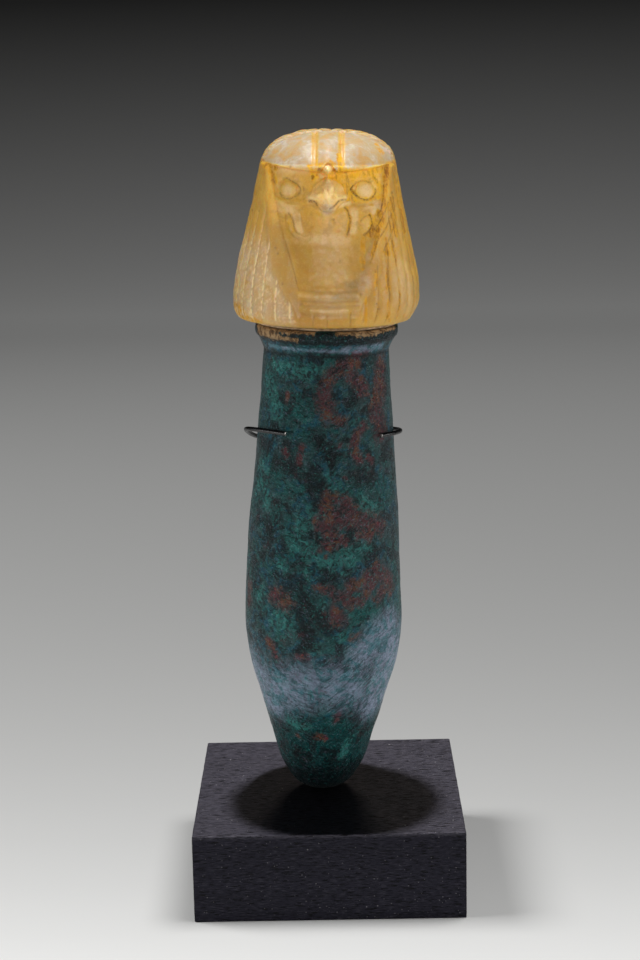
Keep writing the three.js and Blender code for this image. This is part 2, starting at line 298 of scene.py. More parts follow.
def make_speck_group():
    """Small round specks: one in each cell of a Voronoi pattern, in a share of the cells, with
    radius Size as a share of the cell's width."""
    inputs = [("Place", None), ("Scale", 0.3), ("Size", 0.1), ("Share", 0.5)]
    tree, given, result = make_group("specks", inputs, [("Mask", 0.0)])
    cell = add_node(tree, "ShaderNodeTexVoronoi", {"Vector": given["Place"], "Scale": given["Scale"]})
    tint = add_node(tree, "ShaderNodeSeparateColor", {"Color": cell.outputs["Color"]}).outputs
    radius = times(tree, tint[0], given["Size"])
    inside = span(tree, cell.outputs["Distance"], radius, times(tree, radius, 0.5))
    kept = maths(tree, "LESS_THAN", tint[1], given["Share"])
    tree.links.new(times(tree, inside, kept), result["Mask"])
    return tree


mottle = make_mottle_group()
blotch = make_blotch_group()
specks = make_speck_group()


def start_material(name):
    """A material with an empty Principled shader, and its tree."""
    material = bpy.data.materials.new(name)
    material.use_nodes = True
    tree = material.node_tree
    return material, tree, tree.nodes["Principled BSDF"]


def finish_material(tree, shader, colour, roughness, height, strength, distance=0.1):
    """Links the colour, the roughness and a bump whose height is in units of distance (mm)."""
    inputs = {"Height": height, "Strength": strength, "Distance": distance * MM}
    bump = add_node(tree, "ShaderNodeBump", inputs)
    tree.links.new(colour, shader.inputs["Base Color"])
    tree.links.new(roughness, shader.inputs["Roughness"])
    tree.links.new(bump.outputs[0], shader.inputs["Normal"])


# ---- calcite ----

HONEY = (0.69, 0.41, 0.072)
DEEP_HONEY = (0.55, 0.295, 0.050)
GOLD = (0.97, 0.57, 0.075)
CREAM = (0.50, 0.405, 0.28)
PEACH = (0.97, 0.69, 0.33)
LIGHT = (0.92, 0.74, 0.40)
LILAC = (0.62, 0.49, 0.36)
MILK = (0.71, 0.63, 0.49)
OCHRE = (0.70, 0.34, 0.010)
BRIGHT_OCHRE = (0.93, 0.50, 0.012)
RUST = (0.34, 0.13, 0.006)
UMBER = (0.150, 0.056, 0.003)
SMOKE_AND_SHADE = (0.28, 0.185, 0.080)


def make_calcite():
    """Translucent honey-coloured stone, paler on the crown and more golden round the eyes, where the
    gold is also painted light that lifts the face in the brow's shade, with ochre stain in its
    hollows, dirt in its cut lines and a fine grain of pits. Painted highlight lies on the beak's
    ridge and the boss, painted shade on the wig where it turns in to the bib and low on its right,
    and painted sparkle on the left lappet. Dirt and stain lie on the surface, so they let less
    light through."""
    material, tree, shader = start_material("calcite")
    place = place_in_mm(tree)
    cloud = use_group(tree, mottle, Place=place, Scale=0.07, Detail=3.0, Contrast=1.8)
    patch = use_group(tree, mottle, Place=place, Scale=0.2, Detail=5.0, Contrast=2.2, Swirl=0.6)
    fleck = use_group(tree, mottle, Place=place, Scale=0.5, Detail=6.0, Contrast=2.6)
    grain = use_group(tree, mottle, Place=place, Scale=1.5, Detail=4.0, Contrast=2.4)
    pits = use_group(tree, specks, Place=place, Scale=0.35, Size=0.16, Share=0.35)
    down_strands = place_in_mm(tree, (1.0, 1.0, 0.22), -9)
    streaks = use_group(tree, mottle, Place=down_strands, Scale=0.9, Detail=5.0, Contrast=2.8)
    pale = read_value(tree, "pale")

    colour = blend_colour(tree, cloud, HONEY, DEEP_HONEY)
    golden = times(tree, read_value(tree, "gold_and_painted_light"), span(tree, patch, 0, 0.8, 0.55, 1.0))
    colour = cover(tree, colour, GOLD, golden)
    colour = cover(tree, colour, CREAM, pale, span(tree, patch, 0, 0.8, 0.6, 1.0))
    milky = maths(tree, "MAXIMUM", pale, read_value(tree, "lilac"))
    milky = times(tree, milky, span(tree, patch, 0.55, 1.0, 0.0, 0.6))
    colour = cover(tree, colour, MILK, milky)
    # Peach on the pale places, with painted highlight on the beak's ridge and the boss.
    colour = cover(tree, colour, PEACH, read_value(tree, "light"), 0.9)
    colour = cover(tree, colour, LILAC, read_value(tree, "lilac"), 0.8)
    # A smoky cloud in the stone, and painted shade on the wig's turned-in sides and low on its right.
    colour = cover(tree, colour, SMOKE_AND_SHADE, read_value(tree, "smoke_and_shade"))
    colour = cover(tree, colour, DEEP_HONEY, span(tree, patch, 0.5, 0.0, 0.0, 0.5))
    colour = cover(tree, colour, DEEP_HONEY, span(tree, grain, 0.45, 0.0, 0.0, 0.28))
    colour = cover(tree, colour, LIGHT, span(tree, grain, 0.6, 1.0, 0.0, 0.10))
    stain = read_value(tree, "stain")
    field = maths(tree, "MULTIPLY_ADD", stain, 1.8, -0.8)
    ragged = use_group(tree, blotch, Place=place, Field=field, Scale=0.5, Raggedness=1.5, Softness=0.6)
    ochre = times(tree, ragged, span(tree, stain, 0.0, 0.3))
    ochre = times(tree, ochre, span(tree, fleck, 0.0, 0.8, 0.45, 1.0))
    near_eyes = span(tree, read_value(tree, "gold_and_painted_light"), 0.2, 0.6)
    colour = cover(tree, colour, blend_colour(tree, near_eyes, OCHRE, BRIGHT_OCHRE), ochre)
    brown = times(tree, span(tree, stain, 0.35, 1.0), span(tree, streaks, 0.5, 0.15))
    away_from_eyes = maths(tree, "MULTIPLY_ADD", near_eyes, -0.5, 0.9)
    colour = cover(tree, colour, RUST, brown, away_from_eyes)
    rust_field = maths(tree, "SUBTRACT", stain, 1.05)
    rust = use_group(tree, blotch, Place=place, Field=rust_field, Scale=1.0, Raggedness=1.5, Softness=0.4)
    colour = cover(tree, colour, RUST, rust, away_from_eyes, 0.7)
    colour = cover(tree, colour, LIGHT, read_value(tree, "dotted"), 0.95)
    dirt = times(tree, read_value(tree, "dirt"), span(tree, grain, 0.2, 0.7, 0.3, 1.0))
    colour = cover(tree, colour, OCHRE, pits, 0.35)
    colour = cover(tree, colour, UMBER, dirt, 0.95)

    rough = maths(tree, "MULTIPLY_ADD", pale, 0.10, span(tree, fleck, 0, 1, 0.36, 0.50))
    rough = maths(tree, "ADD", rough, times(tree, maths(tree, "MAXIMUM", ochre, dirt), 0.3))
    height = maths(tree, "MULTIPLY_ADD", fleck, 0.4, times(tree, grain, 0.25))
    height = maths(tree, "MULTIPLY_ADD", pits, -0.7, height)
    surface = maths(tree, "MAXIMUM", dirt, times(tree, ochre, 0.7))
    surface = maths(tree, "MAXIMUM", surface, times(tree, read_value(tree, "light"), 0.6))
    tree.links.new(maths(tree, "SUBTRACT", 1.0, surface), shader.inputs["Subsurface Weight"])
    shader.inputs["Subsurface Radius"].default_value = (1.0, 0.55, 0.22)
    shader.inputs["Subsurface Scale"].default_value = 6 * MM
    shader.inputs["IOR"].default_value = 1.5
    finish_material(tree, shader, colour, rough, height, 0.4)
    return material


# ---- the lid's form ----

# Heights up the lid, with the wig's reach to the left, right, front and back. Its lower right
# edge is worn back further than its left one.
LID_RIBS = [
    (0.2, 30.6, 29.2, 29.4, 29.4),
    (0.7, 32.2, 30.6, 30.8, 31.0),
    (2.7, 34.0, 32.2, 32.3, 32.8),
    (7.0, 34.6, 33.9, 32.7, 33.5),
    (12.0, 34.2, 34.0, 32.1, 33.3),
    (24.8, 31.9, 31.7, 30.6, 32.0),
    (35.7, 29.2, 29.2, 29.4, 30.6),
    (46.6, 26.8, 26.8, 28.7, 29.0),
    (53.0, 25.5, 25.5, 28.5, 27.8),
    (57.4, 24.6, 24.7, 27.8, 26.4),
    (61.7, 22.5, 23.0, 23.7, 23.8),
    (65.3, 18.3, 19.3, 18.0, 18.8),
    (67.7, 12.6, 13.8, 12.0, 13.0),
    (LID_HEIGHT, 0.0, 0.0, 0.0, 0.0),
]
LID_ROWS = 206
FRONT_HALF = 55.0
FRONT_STEP = 0.5
BACK_STEP = 1.25
SPIGOT_RADIUS = 19.5
SPIGOT_DEPTH = 5.0
SEAT_RADIUS = 27.4

# Half width, up the lid, of the sunk face and bib, and of the fold where the wig turns in to it.
BIB_EDGE = [(0, 9.0), (13.4, 10.6), (28.8, 14.6), (39.7, 17.6), (48, 18.8), (57, 20.6)]
FOLD_EDGE = [
    (0, 9.6), (5, 10.8), (9.3, 13.2), (13.2, 15.8), (17, 18.0), (29.5, 20.6), (45, 21.6), (57, 22.8),
]
# How far the face and bib are sunk, up the lid.
FACE_DEPTH = [
    (0, 0), (3, 0.2), (8, 0.7), (13.2, 1.1), (15.2, 1.45), (20, 2.0), (30, 2.7), (40, 3.0),
    (50, 2.9), (58, 2.6),
]

# The beak up the lid: half width, and how far its ridge stands out.
BEAK = [
    (40.9, 0.6, 0.0), (41.6, 2.4, 3.6), (42.6, 3.2, 5.4), (44.0, 4.6, 6.0),
    (45.8, 6.9, 5.7), (48.0, 5.9, 4.6), (50.4, 4.8, 3.2), (52.0, 2.6, 1.9), (53.0, 0.8, 1.0),
]

# Cut lines of the carving: half width, depth, how dark the dirt in them is, and their places
# across and up the lid.
CUT_LINES = [
    (0.34, 0.35, 0.55,
     [(-15.8, 52.2), (-14.3, 52.4), (-13.1, 51.6), (-12, 51.1), (-10.8, 50.4), (-9.7, 49.1), (-9.7, 47.9)]),
    (0.34, 0.35, 0.60,
     [(-17, 47.2), (-16.3, 46), (-14.8, 45.3), (-12.8, 45.5), (-11, 46.4), (-9.9, 47.6)]),
    (0.30, 0.25, 0.35, [(-8.7, 49.6), (-8.4, 48.4)]),
    (0.36, 0.40, 0.95,
     [(9, 50.2), (8.4, 49.5), (7.9, 48.7), (8.6, 47.9), (9.6, 47.1), (11, 46), (13.3, 45.1), (15.3, 45.5)]),
    (0.34, 0.35, 0.75, [(15.3, 45.5), (16.5, 46.6), (16.9, 47.8), (16.8, 48.9)]),
    (0.32, 0.30, 0.45, [(9, 50.2), (10.4, 51.3), (12.2, 51.8), (13.8, 51.6), (14.4, 51.2)]),
    (0.34, 0.30, 0.70, [(16, 52.9), (16.9, 52.1), (17.4, 50.9)]),
    (0.42, 0.60, 0.95, [(-6.5, 44.7), (-5.4, 44.8), (-4.3, 44.4), (-3.6, 43.4)]),
    (0.34, 0.50, 0.85, [(0.8, 42.5), (2.2, 43.3), (3.1, 44.2), (3.8, 45), (5, 45.4), (6.3, 45.5)]),
    (0.34, 0.35, 0.80,
     [(6, 42.5), (6.9, 41.7), (7.5, 40), (8, 38), (7.6, 36.3), (7.5, 34.8), (7.1, 33.2)]),
    (0.32, 0.30, 0.45, [(11.8, 37.6), (12.4, 38.7), (13.4, 39.4), (14.7, 39.8)]),
    (0.36, 0.35, 0.85, [(14.7, 39.8), (15.5, 38.7), (15.7, 37.2), (15.4, 35.4), (14.5, 34), (13, 33)]),
    (0.32, 0.30, 0.58,
     [(-13.9, 40.1), (-12.9, 38.9), (-12.1, 37.5), (-11.7, 35.4), (-10.8, 33.7), (-9.9, 33.2)]),
    (0.30, 0.30, 0.20, [(-14.9, 39.6), (-14.9, 37.5), (-14.1, 34.9), (-12, 32.5), (-10.1, 31.2)]),
    (0.30, 0.30, 0.15, [(-14.2, 37), (-13.3, 34.8), (-11.4, 32.7), (-10, 31.8)]),
    (0.30, 0.20, 0.10, [(-9.6, 40.2), (-9.3, 36.9), (-8.6, 34.2)]),
    (0.42, 0.42, 0.34, [(-14.9, 30.3), (-13.4, 25.6), (-11.7, 19.8), (-10.7, 15.4), (-10.1, 13.7)]),
    (0.45, 0.22, 0.15, [(-10.1, 13.7), (0, 13.4), (11, 13.6)]),
    (0.32, 0.25, 0.22, [(-9.5, 10.1), (0, 9.9), (11, 10.2)]),
    (0.32, 0.25, 0.26, [(-9.5, 8.4), (0, 8.2), (11.4, 8.4)]),
    (0.32, 0.25, 0.18, [(-9, 5.3), (0, 5.1), (11, 5.3)]),
    (0.32, 0.28, 0.22, [(-4.7, 5), (-4.8, 0.8)]),
    (0.32, 0.28, 0.22, [(0.2, 5), (0.1, 0.8)]),
    (0.32, 0.30, 0.45, [(8.5, 6), (8.4, 1)]),
    (0.32, 0.30, 0.10, [(-8.2, 42.9), (-11, 43.6), (-15, 43.9)]),
    (0.40, 0.30, 0.15, [(8.1, 45.4), (9.9, 42.9), (12.3, 43.1), (15.8, 43.6), (18.5, 45.1)]),
    (0.30, 0.30, 0.60, [(19.9, 50.0), (19.7, 45.0), (18.8, 41.0)]),
    (0.26, 0.22, 0.60, [(21.5, 44.0), (19.6, 39.0), (16.8, 34.5)]),
    (0.26, 0.22, 0.65, [(22.8, 40.0), (20.8, 35.2), (18.0, 31.0)]),
    (0.26, 0.22, 0.60, [(24.2, 36.5), (22.2, 31.4), (19.8, 27.0)]),
    (0.26, 0.22, 0.50, [(23.4, 46.0), (24.6, 39.0), (25.4, 33.0)]),
    (0.26, 0.22, 0.45, [(25.4, 44.0), (26.7, 36.6), (27.4, 30.0)]),
    (0.26, 0.22, 0.55, [(18.4, 32.6), (17.0, 28.0), (15.5, 23.4)]),
    (0.26, 0.22, 0.55, [(21.6, 27.0), (21.9, 20.0), (22.0, 13.0)]),
    (0.26, 0.20, 0.40, [(18.0, 22.0), (17.5, 14.0)]),
]

# Single pits and spots: radius, depth, how dark, and place.
PITS = [
    (0.75, 0.8, 1.0, (-2.9, 55.7)),
    (0.5, 0.5, 0.75, (2.3, 55.8)),
    (0.5, 0.5, 0.8, (3.0, 55.2)),
    (0.55, 0.6, 0.9, (-5.4, 53.3)),
    (0.45, 0.4, 0.7, (-5.5, 52.6)),
    (0.45, 0.3, 0.5, (-4.0, 53.9)),
    (0.45, 0.2, 0.6, (-13.3, 56.6)),
    (0.5, 0.4, 0.85, (8.3, 48.6)),
    (0.45, 0.3, 0.8, (8.9, 47.7)),
    (0.6, 0.3, 0.7, (-5.6, 44.8)),
    (0.45, 0.2, 0.55, (-16.9, 47.1)),
    (0.4, 0.2, 0.45, (-15.9, 46.1)),
    (0.35, 0.2, 0.85, (-27.3, 40.0)),
    (0.35, 0.2, 0.65, (-24.9, 40.2)),
    (0.5, 0.2, 0.30, (2.1, 38.3)),
    (0.5, 0.3, 0.65, (23.0, 47.2)),
    (0.4, 0.2, 0.60, (19.1, 38.0)),
    (0.5, 0.2, 0.55, (17.7, 32.3)),
    (0.45, 0.2, 0.60, (17.2, 20.2)),
    (0.4, 0.2, 0.60, (17.8, 9.0)),
    (0.5, 0.2, 0.50, (18.6, 7.2)),
    (0.6, 0.2, 0.35, (12.1, 12.5)),
    (0.5, 0.2, 0.55, (-18.4, 28.0)),
    (0.5, 0.2, 0.50, (-17.6, 26.0)),
    (0.5, 0.2, 0.55, (-16.0, 15.6)),
    (0.6, 0.2, 0.30, (-9.0, 9.0)),
    (0.4, 0.2, 0.35, (4.6, 24.2)),
]

# Raised ridges: half width, height and places.
RIDGES = [
    (0.9, 0.55, [(-7.2, 44.2), (-5.2, 42.4), (-2.8, 41.0)]),
    (0.9, 0.55, [(1.5, 41.2), (4.4, 42.6), (6.8, 44.3)]),
    (0.8, 1.1, [(-0.1, 55.6), (0.1, 52.6)]),
    (1.2, 0.5, [(-16.5, 44.6), (-13, 43.4), (-9, 43.6)]),
    (1.3, 0.45, [(9.6, 44.4), (13, 43.8), (17.6, 45.2)]),
    (1.5, 0.35, [(-12.6, 41.6), (-10.9, 38.6), (-10.2, 36), (-9.6, 34.6)]),
    (1.3, 0.35, [(9.4, 40.5), (9.3, 37.5), (9.1, 34.8)]),
    (1.4, 0.30, [(13.4, 37.6), (13.6, 35.6)]),
]

# Stained places: half width, strength and places.
STAINS = [
    (2.6, 0.95, [(2.2, 53.4), (4.6, 51.8)]),
    (3.0, 1.00, [(5.2, 54.6), (7.6, 53.2)]),
    (2.2, 0.95, [(5.4, 51.4), (7.0, 49.6)]),
    (1.6, 0.95, [(6.6, 49.0), (7.6, 46.6), (9.2, 45.2)]),
    (1.8, 0.80, [(8.5, 54.6), (14, 54.4), (18.5, 55.6)]),
    (1.4, 0.70, [(16.4, 53.4), (18.2, 50.6), (18.2, 46)]),
    (1.5, 0.85, [(3.9, 61), (4.4, 58.4), (4.7, 55.8)]),
    (1.3, 0.60, [(-6.4, 57.3), (-5.2, 54.5), (-4.2, 53.2)]),
    (1.2, 0.55, [(-3.4, 57.4), (0, 58.7), (3.2, 57.4)]),
    (1.7, 0.85, [(-22.6, 56.6), (-18.6, 55.8)]),
    (1.7, 0.80, [(-20.4, 55), (-19.4, 51.0)]),
    (0.9, 0.55, [(-4.2, 56.8), (-6, 48.5)]),
    (1.6, 1.05, [(21, 56.6), (20.8, 54), (20.6, 50.8)]),
    (1.3, 0.75, [(20.3, 50.4), (20.1, 45), (19.4, 41)]),
    (2.8, 0.95, [(18.7, 39.5), (17.6, 36), (16.2, 33.6)]),
    (1.4, 0.85, [(22.4, 45), (23.6, 38), (24.6, 32.5)]),
    (1.0, 0.80, [(25.6, 45), (27.2, 37), (28, 33)]),
    (1.1, 0.75, [(18, 32.5), (16, 25.6)]),
    (1.0, 0.75, [(21, 31.5), (21.8, 26)]),
    (1.0, 0.80, [(23, 31.5), (24.2, 25.5)]),
    (1.4, 0.60, [(14.6, 33.2), (12.6, 30.2), (12.6, 21.5)]),
    (0.9, 0.85, [(21.6, 20.5), (21.4, 12.8)]),
    (0.9, 0.75, [(22, 10), (22.4, 2.5)]),
    (0.7, 0.50, [(13.9, 14), (13.9, 1.5)]),
    (0.9, 0.55, [(17.3, 20), (17.1, 12.5)]),
    (0.9, 0.45, [(10.1, 45), (16, 43.2)]),
    (2.6, 0.60, [(-32.6, 5), (-29.6, 2), (-26, 1)]),
    (1.6, 0.40, [(-24.5, 4), (-24, 1)]),
    (1.0, 0.45, [(-13, 39.4), (-13.6, 36.6), (-12.4, 34)]),
    (0.8, 0.15, [(-10.6, 14.4), (10.8, 14.2)]),
    (0.7, 0.30, [(8.4, 7.5), (8.4, 1)]),
    (1.0, 0.55, [(17.6, 64.5), (19.8, 61.5)]),
    (1.2, 0.50, [(20.6, 57.6), (23.6, 57.9)]),
    (0.9, 0.40, [(3.3, 43.9), (6.6, 45.2)]),
    (0.8, 0.60, [(4.4, 46.5), (5.6, 49.6)]),
    (0.8, 0.45, [(-4.6, 45.6), (-5.8, 47)]),
]

# Lighter places: half width, strength and places. Most are paler stone; on the beak's ridge and the boss's
# top they are painted highlight.
PALE_AND_HIGHLIGHT_PLACES = [
    (1.5, 0.55, [(-14.2, 41.6), (-11.6, 40.6), (-10.6, 38.2)]),
    (1.5, 0.60, [(-11.2, 39.4), (-10.4, 36.4), (-9.6, 34.2)]),
    (1.6, 0.60, [(9.2, 41.2), (9.5, 38), (9.0, 34.4)]),
    (1.2, 0.25, [(13.6, 38.2), (13.7, 35.4)]),
    (2.6, 0.45, [(14.8, 42.0), (18.2, 42.2)]),
    (2.6, 0.25, [(-16.8, 42.0), (-12, 42.2)]),
    (1.5, 0.95, [(0.2, 51.6), (0.2, 46), (0, 43.6)]),
    (2.0, 1.00, [(-0.1, 56.4)]),
    (2.2, 0.80, [(-4.6, 46.6), (-5.6, 45.6)]),
    (2.0, 0.70, [(4.0, 46.4), (5.6, 46.0)]),
    (1.2, 0.70, [(4.6, 43.6), (7.4, 44.2)]),
    (3.1, 0.80, [(13.1, 48.4)]),
    (2.9, 0.55, [(-13.9, 48.4)]),
    (1.6, 0.35, [(-20, 55.8), (-8, 55.2)]),
    (3.0, 0.25, [(-21, 26), (-19.5, 18), (-14, 8)]),
    (2.2, 0.42, [(-10.5, 31.6), (6.5, 31)]),
    (4.0, 0.30, [(27, 20), (30, 6)]),
    (0.8, 0.30, [(-9.6, 12.0), (0, 11.8), (11, 12.0)]),
    (0.45, 0.45, [(-5.8, 6.9), (0, 6.7), (7.4, 6.9)]),
]

# How far from the middle the two grooves lie that edge the forehead's smooth band.
FOREHEAD_GROOVE = 4.8


def wig_phase(angle):
    """How many strands of the wig lie between the middle of the face and an angle in degrees.
    They are a little narrower on the front right than elsewhere, and meet evenly at the back."""
    left = (np.abs(angle) - 2.6) / 10
    right = np.interp(np.abs(angle), (0, 60, 180), (-0.61, 6.06, 18.26))
    return np.where(angle < 0, left, right)


def lid_rows():
    """Heights and reaches up the lid, evenly spaced along its outline but closer over the face.
    The way up is counted in steps of height on the sides and of reach on the crown."""
    ribs = np.array(LID_RIBS)
    way = way_along(np.column_stack([ribs[:, 0], ribs[:, 1:].mean(axis=1)]))
    mirrored = ribs[-2] * [1, -1, -1, -1, -1]
    stations = np.column_stack([np.append(way, 2 * way[-1] - way[-2]), np.vstack([ribs, mirrored])])
    fine = np.linspace(0, way[-1], 4000)[:-1]
    heights = follow(stations, fine)[:, 0]
    density = 1 + 0.5 * ease(30, 36, heights) * ease(64, 58, heights)
    share = np.cumsum(density)
    even = np.interp(np.linspace(0, share[-1], LID_ROWS + 1)[:-1], share, fine)
    return follow(stations, even)


def brow_at(x):
    """Height of the ledge over the face: two brows that rise outwards, and a small arch between."""
    return np.maximum(55.1 + 0.0048 * x**2, 58.1 - 0.4 * x**2)


def carve_face(x, z):
    """How far the carving stands out of the plain bell, at places seen from the front."""
    away = np.abs(x)
    bib, fold = follow(BIB_EDGE, z), follow(FOLD_EDGE, z)
    inside = np.clip((fold - away) / (fold - bib), 0, 1)
    inside = 0.6 * inside + 0.4 * ease(0, 1, inside)
    under = ease(brow_at(x) + 0.35, brow_at(x) - 0.55, z)
    relief = -follow(FACE_DEPTH, z) * inside * under

    half, reach = np.moveaxis(follow(BEAK, z), -1, 0)
    within = (z > BEAK[0][0]) & (z < BEAK[-1][0])
    slope = np.clip(1.06 - np.hypot(x - 0.2, 0.35) / np.maximum(half, 0.1), 0, 1)
    relief += np.where(within, reach * slope**0.8, 0)

    for middle, radius in ((-13.9, 3.0), (13.0, 3.3)):
        off = np.hypot(x - middle, z - 48.4) / radius
        ball = 0.9 * np.sqrt(np.clip(1.02 - off**2, 0, 1))
        relief += ball - 0.25 * np.exp(-(((off - 1.35) / 0.3) ** 2))
    boss = np.hypot((x + 0.15) / 2.05, (z - 56.2) / 1.6)
    relief += 2.4 * np.sqrt(np.clip(1 - boss**2, 0, 1)) * (z > 54) + 0.6 * ease(1.5, 1, boss)
    return relief


def mark_lines(x, z, front):
    """Relief of the cut lines, pits and ridges, the dirt in them, and how near the dirty ones
    are, where stain has spread from them."""
    relief, dirt, near = np.zeros_like(x), np.zeros_like(x), np.zeros_like(x)
    for half, depth, dark, points in CUT_LINES:
        off = distance_to(x, z, bend(points))
        cut = np.exp(-((off / half) ** 2))
        relief -= 0.6 * depth * cut
        dirt = np.maximum(dirt, dark * cut)
        near = np.maximum(near, dark * np.exp(-((off / 1.1) ** 2)))
    for radius, depth, dark, place in PITS:
        pit = np.exp(-((distance_to(x, z, [place]) / radius) ** 4))
        relief -= depth * pit
        dirt = np.maximum(dirt, dark * pit)
    for half, rise, points in RIDGES:
        relief += rise * np.exp(-((distance_to(x, z, bend(points)) / half) ** 2))
    return relief * front, dirt * front, near * front


def lay_colour(x, z, places, front):
    """The strongest of the soft-edged places at each point."""
    found = np.zeros_like(x)
    for half, strength, points in places:
        off = distance_to(x, z, bend(points))
        found = np.maximum(found, strength * ease(1.25 * half, 0.3 * half, off))
    return found * front


def crown_strands(x, y, z, angle):
    """Strand number over the whole wig. On the crown the strands run to the front edge, so the
    point that they fan out from moves forward as they climb."""
    centre = -23.3 * ease(55, 68, z)
    fanned = np.degrees(np.arctan2(x, centre - y))
    return np.where(z > 55, wig_phase(fanned), wig_phase(angle))


def make_lid(material):
    """The bell of the wig is, at each height, half an ellipse in front and half behind, each
    with a reach to the left and to the right. The face is cut into its front along -Y, and the
    strands and the forehead's bands along the way the crown faces."""
    back = np.arange(FRONT_HALF, 360 - FRONT_HALF, BACK_STEP)
    angle = np.concatenate([np.arange(-FRONT_HALF, FRONT_HALF, FRONT_STEP), back])
    turn = np.radians(angle)[None, :]
    rows = lid_rows()[:, :, None]
    height, left, right, front_reach, back_reach = np.moveaxis(rows, 1, 0)
    x = np.where(np.sin(turn) > 0, right, left) * np.sin(turn)
    y = -np.where(np.cos(turn) > 0, front_reach, back_reach) * np.cos(turn)
    z = height + 0 * x
    angle = (angle[None, :] + 180) % 360 - 180 + 0 * x
    front = (y < 0).astype(float)

    away = np.abs(x)
    fold = follow(FOLD_EDGE, z)
    cap = ease(56.5, 58, z)
    beside = ease(fold - 0.4, fold + 0.4, away) * front + (1 - front)
    over = ease(-6.8, -6.0, y)
    wig = beside * (1 - cap) + over * cap
    phase = crown_strands(x, y, z, angle)
    groove = (1 - np.abs(np.sin(np.pi * phase))) ** 2
    worn_smooth = np.where(x < 0, 0.75, 0.4) * ease(36, 44, z) * front * (1 - cap)
    strands = wig * ease(0.5, 4, z) * (1 - worn_smooth)
    crown_fade = 1 + 0.2 * ease(60, 66, z)
    outward = -0.40 * groove * strands * crown_fade
    outward += 0.45 * (over - 1) * cap * front
    band = np.abs(away - FOREHEAD_GROOVE)
    forehead = front * cap * (1 - over)
    groove_cut = ease(1.25, 0.2, band)
    swell = 0.28 * np.cos(np.pi * np.clip(x / FOREHEAD_GROOVE, -1, 1))
    swell += 0.22 * np.exp(-(((away - 9.6) / 3.2) ** 2))
    outward += forehead * (swell - 0.32 * groove_cut)

    face = front * ease(60, 58.6, z)
    line_relief, dirt, near_line = mark_lines(x, z, front)
    forward = (carve_face(x, z) + line_relief) * face

    bell = np.stack([x, y, z], axis=-1)
    dome = np.stack([x, y, np.maximum(0, z - 37)], axis=-1)
    dome /= np.linalg.norm(dome, axis=-1, keepdims=True)
    wear = 0.09 * waves(bell, 9, seed=3) + 0.045 * waves(bell, 3, 16, seed=4)
    wear = wear * (1 - 0.75 * forehead)
    points = bell + dome * (outward + wear - 0.12)[..., None]
    points[..., 1] -= forward

    stain = lay_colour(x, z, STAINS, front)
    light = lay_colour(x, z, PALE_AND_HIGHLIGHT_PLACES, front)
    half = follow(BEAK, z)[..., 0]
    # The beak is laid paler, with a painted highlight along its ridge.
    beak = ease(half + 0.2, half - 0.6, np.abs(x - 0.2)) * ease(41, 42, z) * ease(53, 51.5, z)
    ridge = ease(2.6, 0.6, np.abs(x - 0.2))
    light = np.maximum(light, beak * (0.50 + 0.32 * ridge) * front)
    groove_stain = ease(1.9, 0.7, band) * forehead
    pale = 0.95 * ease(brow_at(x) - 0.2, brow_at(x) + 1.2, z) * ease(2, -8, y) * (1 - 0.8 * groove_stain)
    crown_back = 0.6 * ease(56, 66, z) * (1 - front)
    pale = np.maximum(pale, crown_back)
    dots = 0.5 + 0.5 * waves(bell, 1.5, 12, seed=5)
    left_lappet = ease(-9, -12, x + 0.35 * (z - 3)) * front * ease(0.5, 3, z) * ease(42, 28, z)
    left_lappet = np.maximum(left_lappet, 0.4 * (x < 0) * front * ease(56, 50, z))
    dotted = left_lappet * ease(0.4, 0.9, groove) * ease(0.05, 0.45, dots) * strands
    # Pale mealy specks beyond the left fold: partly stone, partly painted sparkle of highlight.
    mealy_and_sparkle = ease(0.6, 1.3, dots + 0.4 * waves(bell, 0.8, 14, seed=9)) * left_lappet * ease(36, 28, z)
    mealy_and_sparkle *= ease(fold, fold + 1.5, away)
    dotted = np.maximum(dotted, 0.4 * mealy_and_sparkle)
    patchy = 0.5 + 0.5 * waves(bell, 9, 12, seed=8)
    right_side = ease(12, 20, x) * front
    dirt = np.maximum(dirt, 0.8 * groove**2 * strands * right_side * ease(0.0, 0.8, patchy))
    upper_right = ease(28, 44, z) * ease(30, 24, x)
    stain = np.maximum(stain, (0.68 * groove + 0.45 * upper_right) * beside * (1 - cap) * right_side
                       * ease(-0.4, 0.7, patchy) * ease(0.5, 4, z))
    stain = np.maximum(stain, 0.40 * groove * strands * (1 - front))
    stain = np.maximum(stain, (0.10 + 0.50 * ease(62, 57, z)) * groove_stain)
    stain = np.maximum(stain, 0.40 * ease(3, 9, x) * ease(22, 16, x) * forehead * ease(60, 57, z))
    stain = np.maximum(stain, near_line * (0.35 + 0.3 * ease(-6, 4, x)))
    stain = stain * (1 - 0.8 * beak)
    lilac = np.maximum(ease(3.2, 0.8, np.hypot(x / 1.1, z - 42.2)), 0.0) * front * (z < 44)
    lilac = np.maximum(lilac, 0.5 * ease(4.2, 1.2, np.hypot(x - 13, (z - 16.8) * 0.9)) * front)
    # Lilac on the left lappet's lit outer face is partly painted sheen.
    lilac = np.maximum(lilac, 0.55 * left_lappet * ease(fold - 1, fold + 2, away) * ease(38, 24, z))
    cloud_top = np.interp(x, (0.5, 11), (11.4, 19.0)) + 1.2 * waves(bell, 6, 8, seed=6)
    smoke_and_shade = 0.5 * ease(-1.0, 3.0, x) * ease(13.0, 9.6, x) * ease(cloud_top + 1.4, cloud_top - 1.4, z)
    smoke_and_shade *= ease(9.0, 11.4, z) * front
